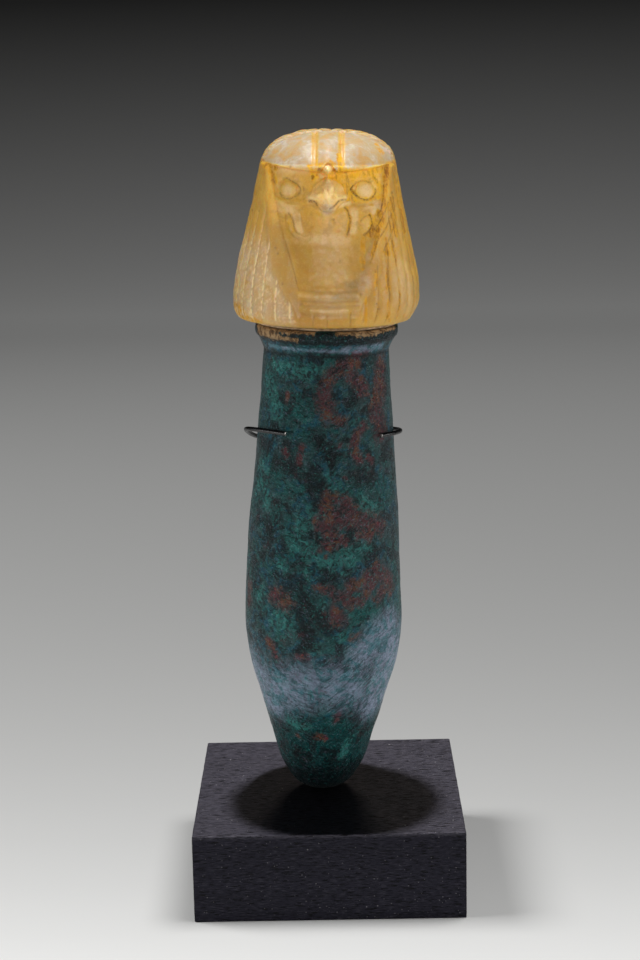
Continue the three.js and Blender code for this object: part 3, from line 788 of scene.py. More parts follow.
    # Painted shade where the wig turns in to the bib, and low on the right side; the collar is laid a
    # little darker as well.
    bib = follow(BIB_EDGE, z)
    turned_in_shade = ease(bib - 0.6, bib + 0.8, away) * ease(fold + 2.6, fold + 0.4, away)
    turned_in_shade *= front * ease(42, 34, z) * ease(2, 8, z)
    smoke_and_shade = np.maximum(smoke_and_shade, turned_in_shade * np.where(x < 0, 0.38, 0.22))
    collar = ease(13.4, 12.8, z) * front * (1 - beside)
    smoke_and_shade = np.maximum(smoke_and_shade, 0.14 * np.maximum(right_side * ease(46, 40, z), collar))
    # Gold round the eyes and face: the face's golden colour, made brighter as painted light under the brow
    # ledge that shades it.
    gold_and_painted_light = ease(40, 47, z) * ease(58.2, 57, z) * ease(-9, 0, x) * ease(20.5, 17, away) * front
    gold_and_painted_light = np.maximum(gold_and_painted_light, 0.45 * ease(29, 38, z) * ease(58.2, 57, z) * ease(22, 18, away) * front)
    gold_and_painted_light = np.maximum(gold_and_painted_light, 0.15 * right_side * ease(54, 50, z))
    gold_and_painted_light = np.maximum(gold_and_painted_light, 0.55 * groove_stain) * (1 - light)
    gold_and_painted_light = np.maximum(gold_and_painted_light, 0.9 * beak * (1 - ridge) * front)
    values = {
        "stain": stain, "pale": pale, "light": light, "gold_and_painted_light": gold_and_painted_light, "dotted": dotted,
        "dirt": dirt, "lilac": lilac, "smoke_and_shade": smoke_and_shade,
    }

    circle = np.stack([np.sin(turn[0]), -np.cos(turn[0]), 0 * turn[0]], axis=-1)
    under = [
        (0.5 * SPIGOT_RADIUS, -SPIGOT_DEPTH), (SPIGOT_RADIUS - 0.8, -SPIGOT_DEPTH),
        (SPIGOT_RADIUS - 0.2, -SPIGOT_DEPTH + 0.25), (SPIGOT_RADIUS, -SPIGOT_DEPTH + 0.8),
        (SPIGOT_RADIUS, -0.3), (SPIGOT_RADIUS + 0.3, 0), (SEAT_RADIUS - 1, 0), (SEAT_RADIUS, 0.02),
    ]
    underside = np.stack([circle * radius + [0, 0, level] for radius, level in under])
    rings = np.concatenate([underside, points]) + [0, 0, LID_BASE]
    low = lean(np.array([0, 0, LID_BASE - SPIGOT_DEPTH]))
    high = lean(np.array([0, 0, LID_BASE + LID_HEIGHT - 0.12]))
    vertices, faces = close_rings(lean(rings), low, high)
    plain = np.zeros((len(under), len(turn[0])))
    whole = {name: add_caps(np.vstack([plain, value])) for name, value in values.items()}
    return make_piece("falcon_head_lid", vertices, faces, material, "falcon_lid", whole)


# ---- bronze ----

SLATE = (0.040, 0.070, 0.075)
TEAL = (0.006, 0.118, 0.108)
DEEP_TEAL = (0.001, 0.062, 0.062)
NIGHT = (0.003, 0.009, 0.011)
VERDIGRIS = (0.045, 0.270, 0.240)
BLUE = (0.008, 0.098, 0.148)
CUPRITE = (0.125, 0.034, 0.042)
RUSSET = (0.175, 0.064, 0.030)
SCARLET = (0.300, 0.040, 0.048)
# Colours of the painted reflection of the pale floor: blue-grey, and teal where it thins.
SHEEN_BLUE_GREY = (0.33, 0.40, 0.55)
SHEEN_TEAL = (0.075, 0.26, 0.30)
RESIN = (0.50, 0.33, 0.17)
RESIN_DARK = (0.24, 0.11, 0.03)


def make_bronze():
    """Dark bronze under a mottled patina of slate, teal and blue-green, with red-brown patches
    where the green has gone, a painted reflection of the pale floor low down and on the flanks
    that runs from blue-grey to teal, painted glints on the grains, painted shade along the
    flare's creases, on the lip under the lid and at the tip, beige residue on the lip, and a
    granular skin whose fine scratches slant one way on the left and the other way on the right."""
    material, tree, shader = start_material("bronze")
    place = place_in_mm(tree)
    broad = use_group(tree, mottle, Place=place, Scale=0.05, Detail=4.0, Contrast=3.0)
    middle = use_group(tree, mottle, Place=place, Scale=0.12, Detail=9.0, Contrast=3.2, Swirl=0.8)
    mirrored = place_in_mm(tree, (-1, 1, 1))
    other = use_group(tree, mottle, Place=mirrored, Scale=0.17, Detail=9.0, Contrast=3.4, Swirl=1.0)
    fine = use_group(tree, mottle, Place=place, Scale=0.5, Detail=8.0, Contrast=3.2, Swirl=1.2)
    grit = use_group(tree, mottle, Place=place, Scale=1.5, Detail=6.0, Contrast=2.8, Swirl=0.8)
    falling = place_in_mm(tree, (0.18, 0.6, 1.0), 22)
    falling = use_group(tree, mottle, Place=falling, Scale=1.3, Detail=4.0, Contrast=2.8)
    rising = place_in_mm(tree, (0.18, 0.6, 1.0), -36)
    rising = use_group(tree, mottle, Place=rising, Scale=1.3, Detail=4.0, Contrast=2.8)
    across = add_node(tree, "ShaderNodeSeparateXYZ", {"Vector": place}).outputs["X"]
    scratches = blend_colour(tree, span(tree, across, -9, 7), falling, rising)
    painted_sheen = read_value(tree, "painted_sheen")

    colour = blend_colour(tree, broad, SLATE, TEAL)
    colour = cover(tree, colour, BLUE, span(tree, other, 0.45, 1.0, 0.0, 0.9))
    low_down = times(tree, read_value(tree, "low_down"), 0.95)
    colour = cover(tree, colour, DEEP_TEAL, low_down)
    colour = cover(tree, colour, NIGHT, span(tree, middle, 0.50, 0.1, 0.0, 0.85))
    field = read_value(tree, "verdigris")
    green = use_group(tree, blotch, Place=place, Field=field, Scale=0.4, Raggedness=2.6, Softness=0.9)
    green = times(tree, green, span(tree, fine, 0, 1, 0.2, 0.85))
    colour = cover(tree, colour, VERDIGRIS, green)
    # Dark patina patches, with painted shade on the lip under the lid and at the tip.
    field = read_value(tree, "dark_patina_and_shade")
    dark = use_group(tree, blotch, Place=place, Field=field, Scale=0.35, Raggedness=2.2, Softness=0.7)
    colour = cover(tree, colour, NIGHT, dark, 0.85)
    field = read_value(tree, "cuprite")
    red = use_group(tree, blotch, Place=place, Field=field, Scale=0.4, Raggedness=2.0, Softness=0.7)
    red_tone = blend_colour(tree, span(tree, other, 0.45, 0.8), CUPRITE, RUSSET)
    red_share = times(tree, red, span(tree, fine, 0.05, 0.6, 0.5, 0.9))
    colour = cover(tree, colour, red_tone, red_share)
    # Painted sheen: the pale floor's reflection painted on the lower belly and flanks, and a painted
    # highlight band on the flare under the lip.
    sheen_share = times(tree, painted_sheen, span(tree, middle, 0.0, 0.8, 0.78, 1.0))
    sheen_share = times(tree, sheen_share, span(tree, scratches, 0.1, 0.8, 0.72, 1.06))
    sheen_tone = blend_colour(tree, span(tree, other, 0.40, 0.85, 0.0, 0.8), SHEEN_BLUE_GREY, SHEEN_TEAL)
    colour = cover(tree, colour, sheen_tone, sheen_share)
    marks = times(tree, span(tree, fine, 0.45, 0.0, 0.0, 0.72), span(tree, painted_sheen, 0, 1, 1.0, 0.42))
    colour = cover(tree, colour, NIGHT, marks)
    slants = span(tree, scratches, 0.42, 0.1, 0.0, 0.5)
    colour = cover(tree, colour, NIGHT, slants, span(tree, broad, 0.3, 0.7, 0.2, 0.8))
    rusty = use_group(tree, blotch, Place=place, Field=-0.9, Scale=0.22, Raggedness=2.6, Softness=0.6)
    colour = cover(tree, colour, CUPRITE, rusty, 0.5)
    bright = use_group(tree, blotch, Place=place, Field=-0.7, Scale=1.0, Raggedness=2.6, Softness=0.5)
    colour = cover(tree, colour, VERDIGRIS, bright, 0.75)
    flecks = use_group(tree, specks, Place=place, Scale=0.6, Size=0.6, Share=0.25)
    near_red = span(tree, read_value(tree, "cuprite"), -0.35, 0.2)
    colour = cover(tree, colour, SCARLET, flecks, near_red, 0.4)
    # Painted glints: grains along the scratches laid in the pale sheen colour, more where the painted sheen
    # is.
    painted_glints = times(tree, span(tree, grit, 0.55, 1.0), span(tree, scratches, 0.45, 0.9))
    colour = cover(tree, colour, SHEEN_BLUE_GREY, painted_glints, span(tree, painted_sheen, 0, 0.6, 0.28, 0.7))
    field = read_value(tree, "resin")
    resin = use_group(tree, blotch, Place=place, Field=field, Scale=0.7, Raggedness=1.7, Softness=0.35)
    resin_share = times(tree, resin, span(tree, fine, 0.1, 0.6, 0.5, 1.0))
    resin_tone = blend_colour(tree, span(tree, fine, 0.75, 0.2, 0.0, 0.7), RESIN, RESIN_DARK)
    colour = cover(tree, colour, resin_tone, resin_share)
    # Painted shade: near black along the two creases of the flare and at the tip.
    colour = cover(tree, colour, NIGHT, read_value(tree, "crease_shade"), 0.9)

    rough = span(tree, fine, 0, 1, 0.42, 0.24)
    rough = maths(tree, "ADD", rough, times(tree, resin, 0.3))
    height = maths(tree, "MULTIPLY_ADD", fine, 1.0, times(tree, grit, 0.4))
    height = maths(tree, "MULTIPLY_ADD", scratches, 0.5, height)
    height = maths(tree, "MULTIPLY_ADD", middle, 0.8, height)
    height = maths(tree, "ADD", height, times(tree, red, -0.5))
    shader.inputs["Specular IOR Level"].default_value = 0.22
    shader.inputs["Sheen Weight"].default_value = 0.03
    shader.inputs["Sheen Roughness"].default_value = 0.35
    finish_material(tree, shader, colour, rough, height, 0.85, 0.22)
    return material


# ---- the jar's form ----

# Radius and height of the body's outline, from the blunt tip to the neck.
BODY_OUTLINE = [
    (0, 0), (6, 0.7), (10.2, 3.1), (14.3, 8.8), (19.9, 25), (23.8, 38), (27.4, 51),
    (29.6, 67), (29.1, 85), (27.9, 105), (25.8, 134), (24.3, 153), (23.1, 171),
]
RIM_OUTLINE = [(23.1, 171.2), (23.8, 172.9), (25.0, 175.2), (25.7, 176.3)]
LIP_OUTLINE = [
    (26.15, 176.6), (26.4, 177.4), (26.5, 178.4), (26.45, 179.4), (26.15, 180.0), (25.6, 180.28),
    (22.0, 180.3), (21.2, 180.28), (20.75, 180.0), (20.6, 179.4),
]
JAR_WALL = 2.0
JAR_FOOT_SOLID = 7.0
JAR_SIDES = 360

# Patches of the patina: half width and places, as angle in degrees and height.
RED_PATCHES = [
    (3.0, [(1, 150), (-1, 156), (1, 162)]),
    (2.2, [(3, 163), (9, 166.5), (17, 168.5), (27, 168.3)]),
    (2.4, [(22, 164), (31, 161), (34, 158)]),
    (3.6, [(58, 167), (54, 158), (50, 150), (54, 142)]),
    (1.4, [(6, 149)]),
    (1.7, [(10, 147.5), (15, 148.5)]),
    (1.7, [(33, 145.5), (27, 143), (23.5, 139), (25, 135.5), (29, 133.5)]),
    (1.0, [(12, 139)]),
    (1.2, [(37, 134), (41, 132.5)]),
    (1.3, [(-19.5, 138.5), (-21, 135), (-22, 132.5)]),
    (1.2, [(-36, 136), (-33, 135)]),
    (1.1, [(-36, 156.7), (-36, 154.5)]),
    (3.4, [(4, 119), (3, 110)]),
    (3.8, [(6, 112), (18, 113)]),
    (3.4, [(5, 107), (6, 104)]),
    (3.8, [(22, 112), (38, 109.5), (45, 108.5)]),
    (2.0, [(16, 119), (22, 116.5)]),
    (2.0, [(13, 105), (15, 103.5)]),
    (2.4, [(28, 106), (37, 105)]),
    (1.2, [(2, 102.3)]),
    (1.1, [(10, 102)]),
    (1.0, [(-3, 100.5)]),
    (0.8, [(1.5, 98.5)]),
    (1.5, [(-7, 112), (-4, 109)]),
    (0.9, [(16, 127)]),
    (1.6, [(-4, 87), (4, 86), (8, 84)]),
    (1.8, [(12, 83.5), (15, 83.5)]),
    (2.2, [(20, 87), (28, 88.5), (34, 90.5)]),
    (2.0, [(18, 81), (28, 81.5), (34, 85), (40, 88)]),
    (3.4, [(44, 91), (54, 88), (58, 84)]),
    (2.5, [(44, 81), (50, 84)]),
    (3.0, [(8, 77.5), (10, 75.5)]),
    (1.2, [(20, 78.5)]),
    (3.4, [(-37, 82), (-29, 80)]),
    (2.6, [(-72, 82), (-70, 77)]),
    (1.8, [(-44, 64), (-38, 60)]),
    (1.2, [(-20, 59.8), (-12, 60.5)]),
    (1.1, [(12, 33), (15, 36)]),
    (1.3, [(-6, 26.5), (2, 26)]),
    (0.9, [(-28, 26)]),
    (1.6, [(27, 171.5), (38, 172.3)]),
    (1.4, [(21, 67.5), (26, 68.5)]),
]
GREEN_PATCHES = [
    (4.6, [(-34, 75), (-27, 73)]),
    (2.6, [(-30, 77)]),
    (1.5, [(-38, 50), (-34, 46)]),
    (1.6, [(-31, 49), (-30, 46)]),
    (1.3, [(-14, 51), (-12, 45)]),
    (1.3, [(44, 49), (41, 46)]),
    (1.8, [(33, 48.5)]),
    (2.2, [(-7, 64)]),
    (1.8, [(13, 68)]),
    (1.0, [(-13, 93.5), (-13, 90.5)]),
    (1.2, [(-34, 94.5), (-31, 92.5)]),
    (2.2, [(-13, 102)]),
    (3.0, [(-22, 103), (-12, 100), (2, 96), (10, 97)]),
    (2.2, [(-19, 112), (-17, 107)]),
    (2.0, [(-10, 115), (-9, 111)]),
    (2.2, [(-54, 120), (-52, 115)]),
    (1.7, [(2, 123), (9, 123)]),
    (2.0, [(2, 127)]),
    (3.0, [(33, 117), (42, 113)]),
    (2.2, [(28, 103), (33, 101)]),
    (1.6, [(14, 92)]),
    (1.4, [(1, 81)]),
    (2.4, [(16, 101), (20, 97)]),
    (2.0, [(-56, 80), (-52, 82)]),
    (1.3, [(19, 79), (20, 77)]),
    (3.4, [(-62, 160), (-50, 150)]),
    (3.6, [(-60, 128), (-66, 120)]),
    (2.5, [(-52, 166.5), (-12, 165.5)]),
    (2.0, [(-3, 166)]),
    (1.8, [(30, 24), (24, 18)]),
    (2.2, [(-20, 30), (-36, 32)]),
]
DARK_PATCHES = [
    (2.4, [(-8, 131), (-8, 122), (-5, 117)]),
    (2.0, [(-2, 126), (0, 119)]),
    (4.0, [(-14, 82), (-16, 76), (-10, 66)]),
    (3.0, [(-3, 77), (2, 72)]),
    (3.0, [(-26, 85), (-18, 88)]),
    (2.4, [(-34, 139), (-30, 134)]),
    (2.4, [(2, 92), (6, 90)]),
    (1.5, [(20, 108.5), (20.5, 104.5)]),
    (2.2, [(-48, 109), (-44, 104)]),
    (2.6, [(-30, 18), (-20, 11)]),
    (4.0, [(20, 39.5), (36, 38)]),
    (2.5, [(-46, 131.5), (-30, 131)]),
    (2.0, [(25, 156), (29, 162)]),
    (1.6, [(-7, 163.5), (-4, 162)]),
    (1.6, [(12, 64), (11, 58)]),
    (3.0, [(-4, 140), (6, 135)]),
    (3.0, [(24, 128), (40, 126)]),
]
# Where the floor's reflection and the flare's highlight are painted: half width and places, as angle in
# degrees and height.
SHEEN_PATCHES = [
    (1.4, [(14, 173.4), (56, 173.8)]),
    (0.8, [(-60, 173.6), (10, 173.2)]),
    (10.5, [(-30, 46), (0, 49), (24, 47)]),
    (15.0, [(62, 45), (66, 56)]),
    (7.0, [(60, 62), (56, 70)]),
    (12.0, [(-64, 38), (-70, 47)]),
    (7.5, [(30, 60), (44, 67)]),
    (7.0, [(52, 34), (46, 42)]),
    (6.0, [(-50, 36), (-46, 44)]),
    (9.5, [(72, 50), (105, 53), (140, 48), (180, 50)]),
    (9.5, [(-74, 47), (-108, 50), (-146, 53), (-180, 50)]),
]
RESIN_PATCHES = [
    (0.8, [(-76, 180.0), (-10, 180.2)]),
    (1.3, [(-70, 178.2), (-56, 177.8), (-44, 177.3)]),
    (0.8, [(-42, 177.5), (-24, 176.9)]),
    (0.6, [(8, 179.9), (20, 179.8)]),
    (1.1, [(22, 179.6), (42, 179.5)]),
    (0.8, [(44, 179.8), (74, 180.1)]),
]


def patch_field(angle, height, patches):
    """1 in the middle of a patch, 0 at its edge and down to -1 outside, where the distance runs
    over the skin."""
    field = np.full(angle.shape, -1.0)
    for half, points in patches:
        line = np.array(points, float)
        girth = math.radians(1) * np.interp(line[:, 1].mean(), *OUTLINE_BY_HEIGHT)
        near = distance_to(angle * girth, height, bend(line * [girth, 1]))
        field = np.maximum(field, 1 - near / half)
    return field


OUTLINE_BY_HEIGHT = (
    [height for _, height in BODY_OUTLINE + RIM_OUTLINE],
    [radius for radius, _ in BODY_OUTLINE + RIM_OUTLINE],
)


def resample(outline, count):
    """count points evenly spaced along the smooth curve through an outline's points."""
    outline = np.array(outline, float)
    way = way_along(outline)
    fine = follow(np.column_stack([way, outline]), np.linspace(0, way[-1], 2000))
    length = way_along(fine)
    even = np.linspace(0, length[-1], count)
    return np.column_stack([np.interp(even, length, fine[:, axis]) for axis in (0, 1)])


def make_jar(material):
    """A profile turned round the axis, from the tip up the outside, over the lip and down the
    inside. Outside it is a little off round, with shallow dents and a belly that sits left."""
    body = resample(BODY_OUTLINE, 190)
    rim = resample(RIM_OUTLINE, 12)
    start = np.argmax(body[:, 1] > JAR_FOOT_SOLID + 12)
    inside = body[start:][::-8] - [JAR_WALL, 0]
    sweep = np.linspace(0, np.pi / 2, 7)[1:-1]
    radius, height = inside[-1]
    bowl = np.column_stack([radius * np.cos(sweep), height - (height - JAR_FOOT_SOLID) * np.sin(sweep)])
    outside = np.vstack([body[1:], rim[1:], LIP_OUTLINE])
    profile = np.vstack([outside, inside, bowl])

    turn = np.linspace(-np.pi, np.pi, JAR_SIDES + 1)[:-1][None, :]
    radius, height = profile[:, 0][:, None], profile[:, 1][:, None] + 0 * turn
    is_outside = (np.arange(len(profile)) < len(outside))[:, None].astype(float)
    around = np.stack([np.sin(turn) + 0 * height, -np.cos(turn) + 0 * height, 0 * height], axis=-1)
    points = around * radius[..., None] + np.stack([0 * height, 0 * height, height], axis=-1)

    body_only = is_outside * ease(4, 14, height) * ease(171, 165, height)
    dent = 0.16 * waves(points, 46, 6, seed=11) + 0.07 * waves(points, 12, 12, seed=12)
    dent += 0.035 * waves(points, 3.2, 20, seed=13)
    lip_wear = (0.12 * waves(points, 7, 10, seed=14) - 0.15) * is_outside * ease(171, 176, height)
    points += around * (dent * body_only + lip_wear)[..., None]
    points[..., 0] -= 0.3 * is_outside * ease(60, 80, height) * ease(125, 100, height)

    degrees = np.degrees(turn) + 0 * height
    fields = {
        "cuprite": RED_PATCHES, "verdigris": GREEN_PATCHES, "dark_patina_and_shade": DARK_PATCHES,
        "resin": RESIN_PATCHES,
    }
    values = {name: patch_field(degrees, height, patches) for name, patches in fields.items()}
    # Painted shade: the lip's band under the lid, partly dark patina, and the tip where it meets the block.
    lip_shade = 2.2 * ease(174.6, 176.2, height) * (1 - ease(180, 180.3, height)) - 0.9
    tip_shade = 2.4 * ease(20, 7, height) - 1
    values["dark_patina_and_shade"] = np.maximum(values["dark_patina_and_shade"], np.maximum(lip_shade, tip_shade) * is_outside)
    # Painted sheen of the floor's reflection, stronger towards the flanks, from a little above the tip up.
    painted_sheen = ease(-0.5, 0.85, patch_field(degrees, height, SHEEN_PATCHES))
    sheen_strength = 0.76 + 0.24 * ease(25, 60, np.abs(degrees))
    values["painted_sheen"] = sheen_strength * painted_sheen * is_outside * ease(26, 38, height)
    # Painted shade in the crease where the neck meets the flare, in the one under the lip, and at the tip
    # where it meets the block.
    crease_shade = np.exp(-(((height - 171.2) / 0.45) ** 2)) + 0.9 * np.exp(-(((height - 176.3) / 0.35) ** 2))
    values["crease_shade"] = np.clip(np.maximum(crease_shade, 0.6 * ease(14, 2, height)), 0, 1) * is_outside
    values["low_down"] = ease(42, 28, height) * is_outside
    tip = lean(np.array([0.0, 0.0, 0.0]))
    well = lean(np.array([0.0, 0.0, JAR_FOOT_SOLID]))
    vertices, faces = close_rings(lean(points), tip, well)
    whole = {name: add_caps(value) for name, value in values.items()}
    return make_piece("patinated_jar", vertices, faces, material, "bronze_jar", whole)


# ---- plaster ----

PLASTER = (0.85, 0.65, 0.42)
PLASTER_DARK = (0.36, 0.22, 0.11)


def make_plaster_material():
    """Crumbly beige plaster, browner in its hollows."""
    material, tree, shader = start_material("plaster")
    place = place_in_mm(tree)
    cloud = use_group(tree, mottle, Place=place, Scale=0.35, Detail=5.0, Contrast=2.4)
    grit = use_group(tree, mottle, Place=place, Scale=1.8, Detail=5.0, Contrast=2.0)
    colour = blend_colour(tree, cloud, PLASTER, PLASTER_DARK)
    colour = cover(tree, colour, PLASTER_DARK, span(tree, grit, 0.4, 0.0, 0.0, 0.5))
    rough = span(tree, grit, 0, 1, 0.95, 0.75)
    finish_material(tree, shader, colour, rough, grit, 0.8, 0.25)
    return material


def make_plaster(material):
    """A flat ring, ragged outside: its section is a rounded slab whose outer edge moves in and
    out, and bulges, with the angle."""
    low = JAR_HEIGHT + TOUCH_GAP
    high = LID_BASE - TOUCH_GAP
    sides = 360
    turn = np.linspace(0, 2 * np.pi, sides + 1)[:-1]
    around = np.stack([np.cos(turn), np.sin(turn), 0 * turn], axis=-1)
    edge = around * 25
    reach = 25.7 + 0.28 * waves(edge, 14, 8, seed=21) + 0.22 * waves(edge, 3.5, 14, seed=22)
    reach = np.clip(reach, 24.4, 26.6)
    rings = []
    for level in np.linspace(-1, 1, 9):
        crumbs = 0.1 * waves(edge + [0, 0, 3 * level], 2.2, 14, seed=23)
        ring = around * (reach - 0.45 * level**2 + crumbs)[:, None]
        rings.append(ring + [0, 0, (low + high) / 2 + level * (high - low) / 2])
    rings += [around * 20.9 + [0, 0, high], around * 20.7 + [0, 0, low]]
    vertices, faces = close_rings(lean(np.stack(rings)))
    return make_piece("plaster_bed", vertices, faces, material, "plaster_bedding")


# ---- wire cradle ----

BLACK_PAINT = (0.006, 0.006, 0.007)
BARE_STEEL = (0.45, 0.43, 0.41)
WIRE_RADIUS = 0.85
POST_RADIUS = 1.5
# Along each arm: the angle round the jar from the back, the reach from the jar's axis and the
# height above the block.
LEFT_ARM = {
    "side": -1,
    "post_height": 128.8,
    "stations": [
        (35, 29.5, 132), (62, 29.5, 135.7), (90, 29.5, 140.7), (112, 29.2, 143.2), (147, 26.7, 143.4),
    ],
}
RIGHT_ARM = {
    "side": 1,
    "post_height": 135.0,
    "stations": [
        (35, 27.8, 136.4), (62, 27.8, 137.8), (90, 27.8, 139.6), (112, 27.4, 140.6), (130, 26.7, 141.1),
    ],
}


def make_wire_material():
    """Thin satin black paint over steel, bare where the wire was cut."""
    material, tree, shader = start_material("painted_wire")
    place = place_in_mm(tree)
    cloud = use_group(tree, mottle, Place=place, Scale=0.8, Detail=5.0, Contrast=2.0)
    bare_field = maths(tree, "MULTIPLY_ADD", read_value(tree, "bare"), 2.0, -1.1)
    bare = use_group(tree, blotch, Place=place, Field=bare_field, Scale=2.5, Raggedness=0.8, Softness=0.2)
    colour = blend_colour(tree, bare, BLACK_PAINT, BARE_STEEL)
    rough = span(tree, cloud, 0, 1, 0.22, 0.38)
    tree.links.new(bare, shader.inputs["Metallic"])
    finish_material(tree, shader, colour, rough, cloud, 0.25)
    return material


def carry_circle(path, radii, sides=20):
    """Rings of a tube: at each point of a path, a circle square to it whose frame turns as
    little as it can from one ring to the next."""
    along = np.gradient(path, axis=0)
    along /= np.linalg.norm(along, axis=1)[:, None]
    sideways = np.cross(along[0], [0.3, 0.2, 1.0])
    turn = np.linspace(0, 2 * np.pi, sides + 1)[:-1]
    rings = []
    for point, ahead, radius in zip(path, along, radii):
        sideways = sideways - ahead * np.dot(sideways, ahead)
        sideways /= np.linalg.norm(sideways)
        upward = np.cross(ahead, sideways)
        circle = np.cos(turn)[:, None] * sideways + np.sin(turn)[:, None] * upward
        rings.append(point + radius * circle)
    return np.stack(rings)


def arm_path(arm):
    """Points of one arm: it leaves the post, rounds the jar and bends in to touch its front."""
    points = [(0, POST_Y, arm["post_height"])]
    for turn, reach, height in arm["stations"]:
        angle = math.radians(turn)
        axis = JAR_FOOT[0] + height * math.sin(JAR_LEAN)
        points.append((axis + arm["side"] * reach * math.sin(angle), reach * math.cos(angle), height))
    return bend(np.array(points) + [0, 0, BLOCK_TOP], 16)


def make_cradle(material):
    """A round post with a domed top, two arms of thinner wire carried along their paths, and a
    bead of solder where each arm joins the post."""
    parts = []
    level = np.array([0, 0.25, 0.5, 1.0])
    foot = BLOCK_TOP - SOCKET_DEPTH + TOUCH_GAP
    shaft = np.linspace(foot + 6, POST_TOP - 6, 24)
    heights = np.concatenate([foot + level, shaft, POST_TOP - level[::-1]])
    edge = np.sqrt(1 - (1 - level) ** 2) * 0.98 + 0.02
    radii = np.concatenate([edge, np.ones(len(shaft)), edge[::-1]]) * POST_RADIUS
    post = np.column_stack([0 * heights, 0 * heights + POST_Y, heights])
    parts.append((post, radii, np.zeros(len(post))))
    for arm in (LEFT_ARM, RIGHT_ARM):
        path = arm_path(arm)
        ahead = (path[-1] - path[-2]) / np.linalg.norm(path[-1] - path[-2])
        end = path[-1] + ahead * np.array([[0.0], [0.25], [0.3]])
        path = np.vstack([path[:-1], end])
        radii = np.full(len(path), WIRE_RADIUS)
        radii[-2:] = WIRE_RADIUS * np.array([0.9, 0.7])
        bare = np.zeros(len(path))
        bare[-2:] = (0.6, 0.85)
        parts.append((path, radii, bare))
        joint = path[0] + np.linspace(0, 3.0, 9)[:, None] * [arm["side"], 0, 0]
        bead = WIRE_RADIUS + 0.75 * np.cos(np.linspace(0, np.pi / 2, 9))
        parts.append((joint, bead, np.zeros(9)))
    vertices, faces, bare_values = [], [], []
    for path, radii, bare in parts:
        rings = carry_circle(path, radii)
        corners, sides = close_rings(rings, path[0], path[-1])
        first = sum(len(block) for block in vertices)
        faces += [[first + corner for corner in side] for side in sides]
        vertices.append(corners)
        bare_values.append(np.concatenate([np.repeat(bare, rings.shape[1]), [bare[0], bare[-1]]]))
    return make_piece(
        "bent_wire_cradle", np.vstack(vertices), faces, material,
        "wire_cradle", {"bare": np.concatenate(bare_values)},
    )


# ---- block ----

STAINED = (0.0080, 0.0074, 0.0150)
STAINED_LIGHT = (0.0135, 0.0124, 0.0230)
PALE_FIBRE_AND_SHEEN = (0.098, 0.092, 0.116)
PORE = (0.0008, 0.0008, 0.0010)
DUST = (0.45, 0.43, 0.45)
EDGE_ROUND = 0.45


def make_wood():
    """Open-grained wood stained black: its grain runs along X, with short dark pores and fine
    paler fibres, a paler top that is partly dust and partly painted sheen of the light from above,
    worn edges and specks of lint."""
    material, tree, shader = start_material("stained_wood")
    place = place_in_mm(tree)
    long_bands = place_in_mm(tree, (0.08, 1.0, 1.0))
    bands = use_group(tree, mottle, Place=long_bands, Scale=0.12, Detail=4.0, Contrast=1.8)
    long_fibres = place_in_mm(tree, (0.14, 1.0, 1.0))
    fibres = use_group(tree, mottle, Place=long_fibres, Scale=2.4, Detail=3.0, Contrast=2.2)
    long_pores = place_in_mm(tree, (0.16, 1.0, 1.0))
    pores = {"Place": long_pores, "Field": -0.34, "Scale": 1.4, "Raggedness": 2.1, "Softness": 0.12}
    pores = use_group(tree, blotch, **pores)
    dust = use_group(tree, specks, Place=place, Scale=0.28, Size=0.13, Share=0.6)
    fine_dust = use_group(tree, specks, Place=place, Scale=0.8, Size=0.26, Share=0.35)
    blur = use_group(tree, mottle, Place=place, Scale=0.5, Detail=4.0, Contrast=2.0)
    top = read_value(tree, "top")
    edge = read_value(tree, "edge")

    colour = blend_colour(tree, bands, STAINED, STAINED_LIGHT)
    colour = cover(tree, colour, PALE_FIBRE_AND_SHEEN, span(tree, fibres, 0.6, 1.0, 0.0, 0.22))
    # The top is laid paler: partly dust and partly painted sheen of the light from above.
    top_dust_and_sheen = times(tree, top, span(tree, fibres, 0, 1, 0.42, 0.72))
    colour = cover(tree, colour, PALE_FIBRE_AND_SHEEN, top_dust_and_sheen)
    colour = cover(tree, colour, PORE, span(tree, fibres, 0.4, 0.0, 0.0, 0.8))
    worn = times(tree, edge, span(tree, blur, 0.4, 0.9))
    colour = cover(tree, colour, (0.12, 0.11, 0.13), worn, 0.3)
    colour = cover(tree, colour, PORE, pores, 0.9)
    colour = cover(tree, colour, DUST, dust, span(tree, top, 0, 1, 0.3, 0.6))
    colour = cover(tree, colour, DUST, fine_dust, span(tree, top, 0, 1, 0.22, 0.38))
    rough = span(tree, fibres, 0, 1, 0.6, 0.45)
    height = maths(tree, "MULTIPLY_ADD", fibres, 0.6, times(tree, pores, -1.2))
    shader.inputs["Specular IOR Level"].default_value = 0.12
    finish_material(tree, shader, colour, rough, height, 0.5)
    return material


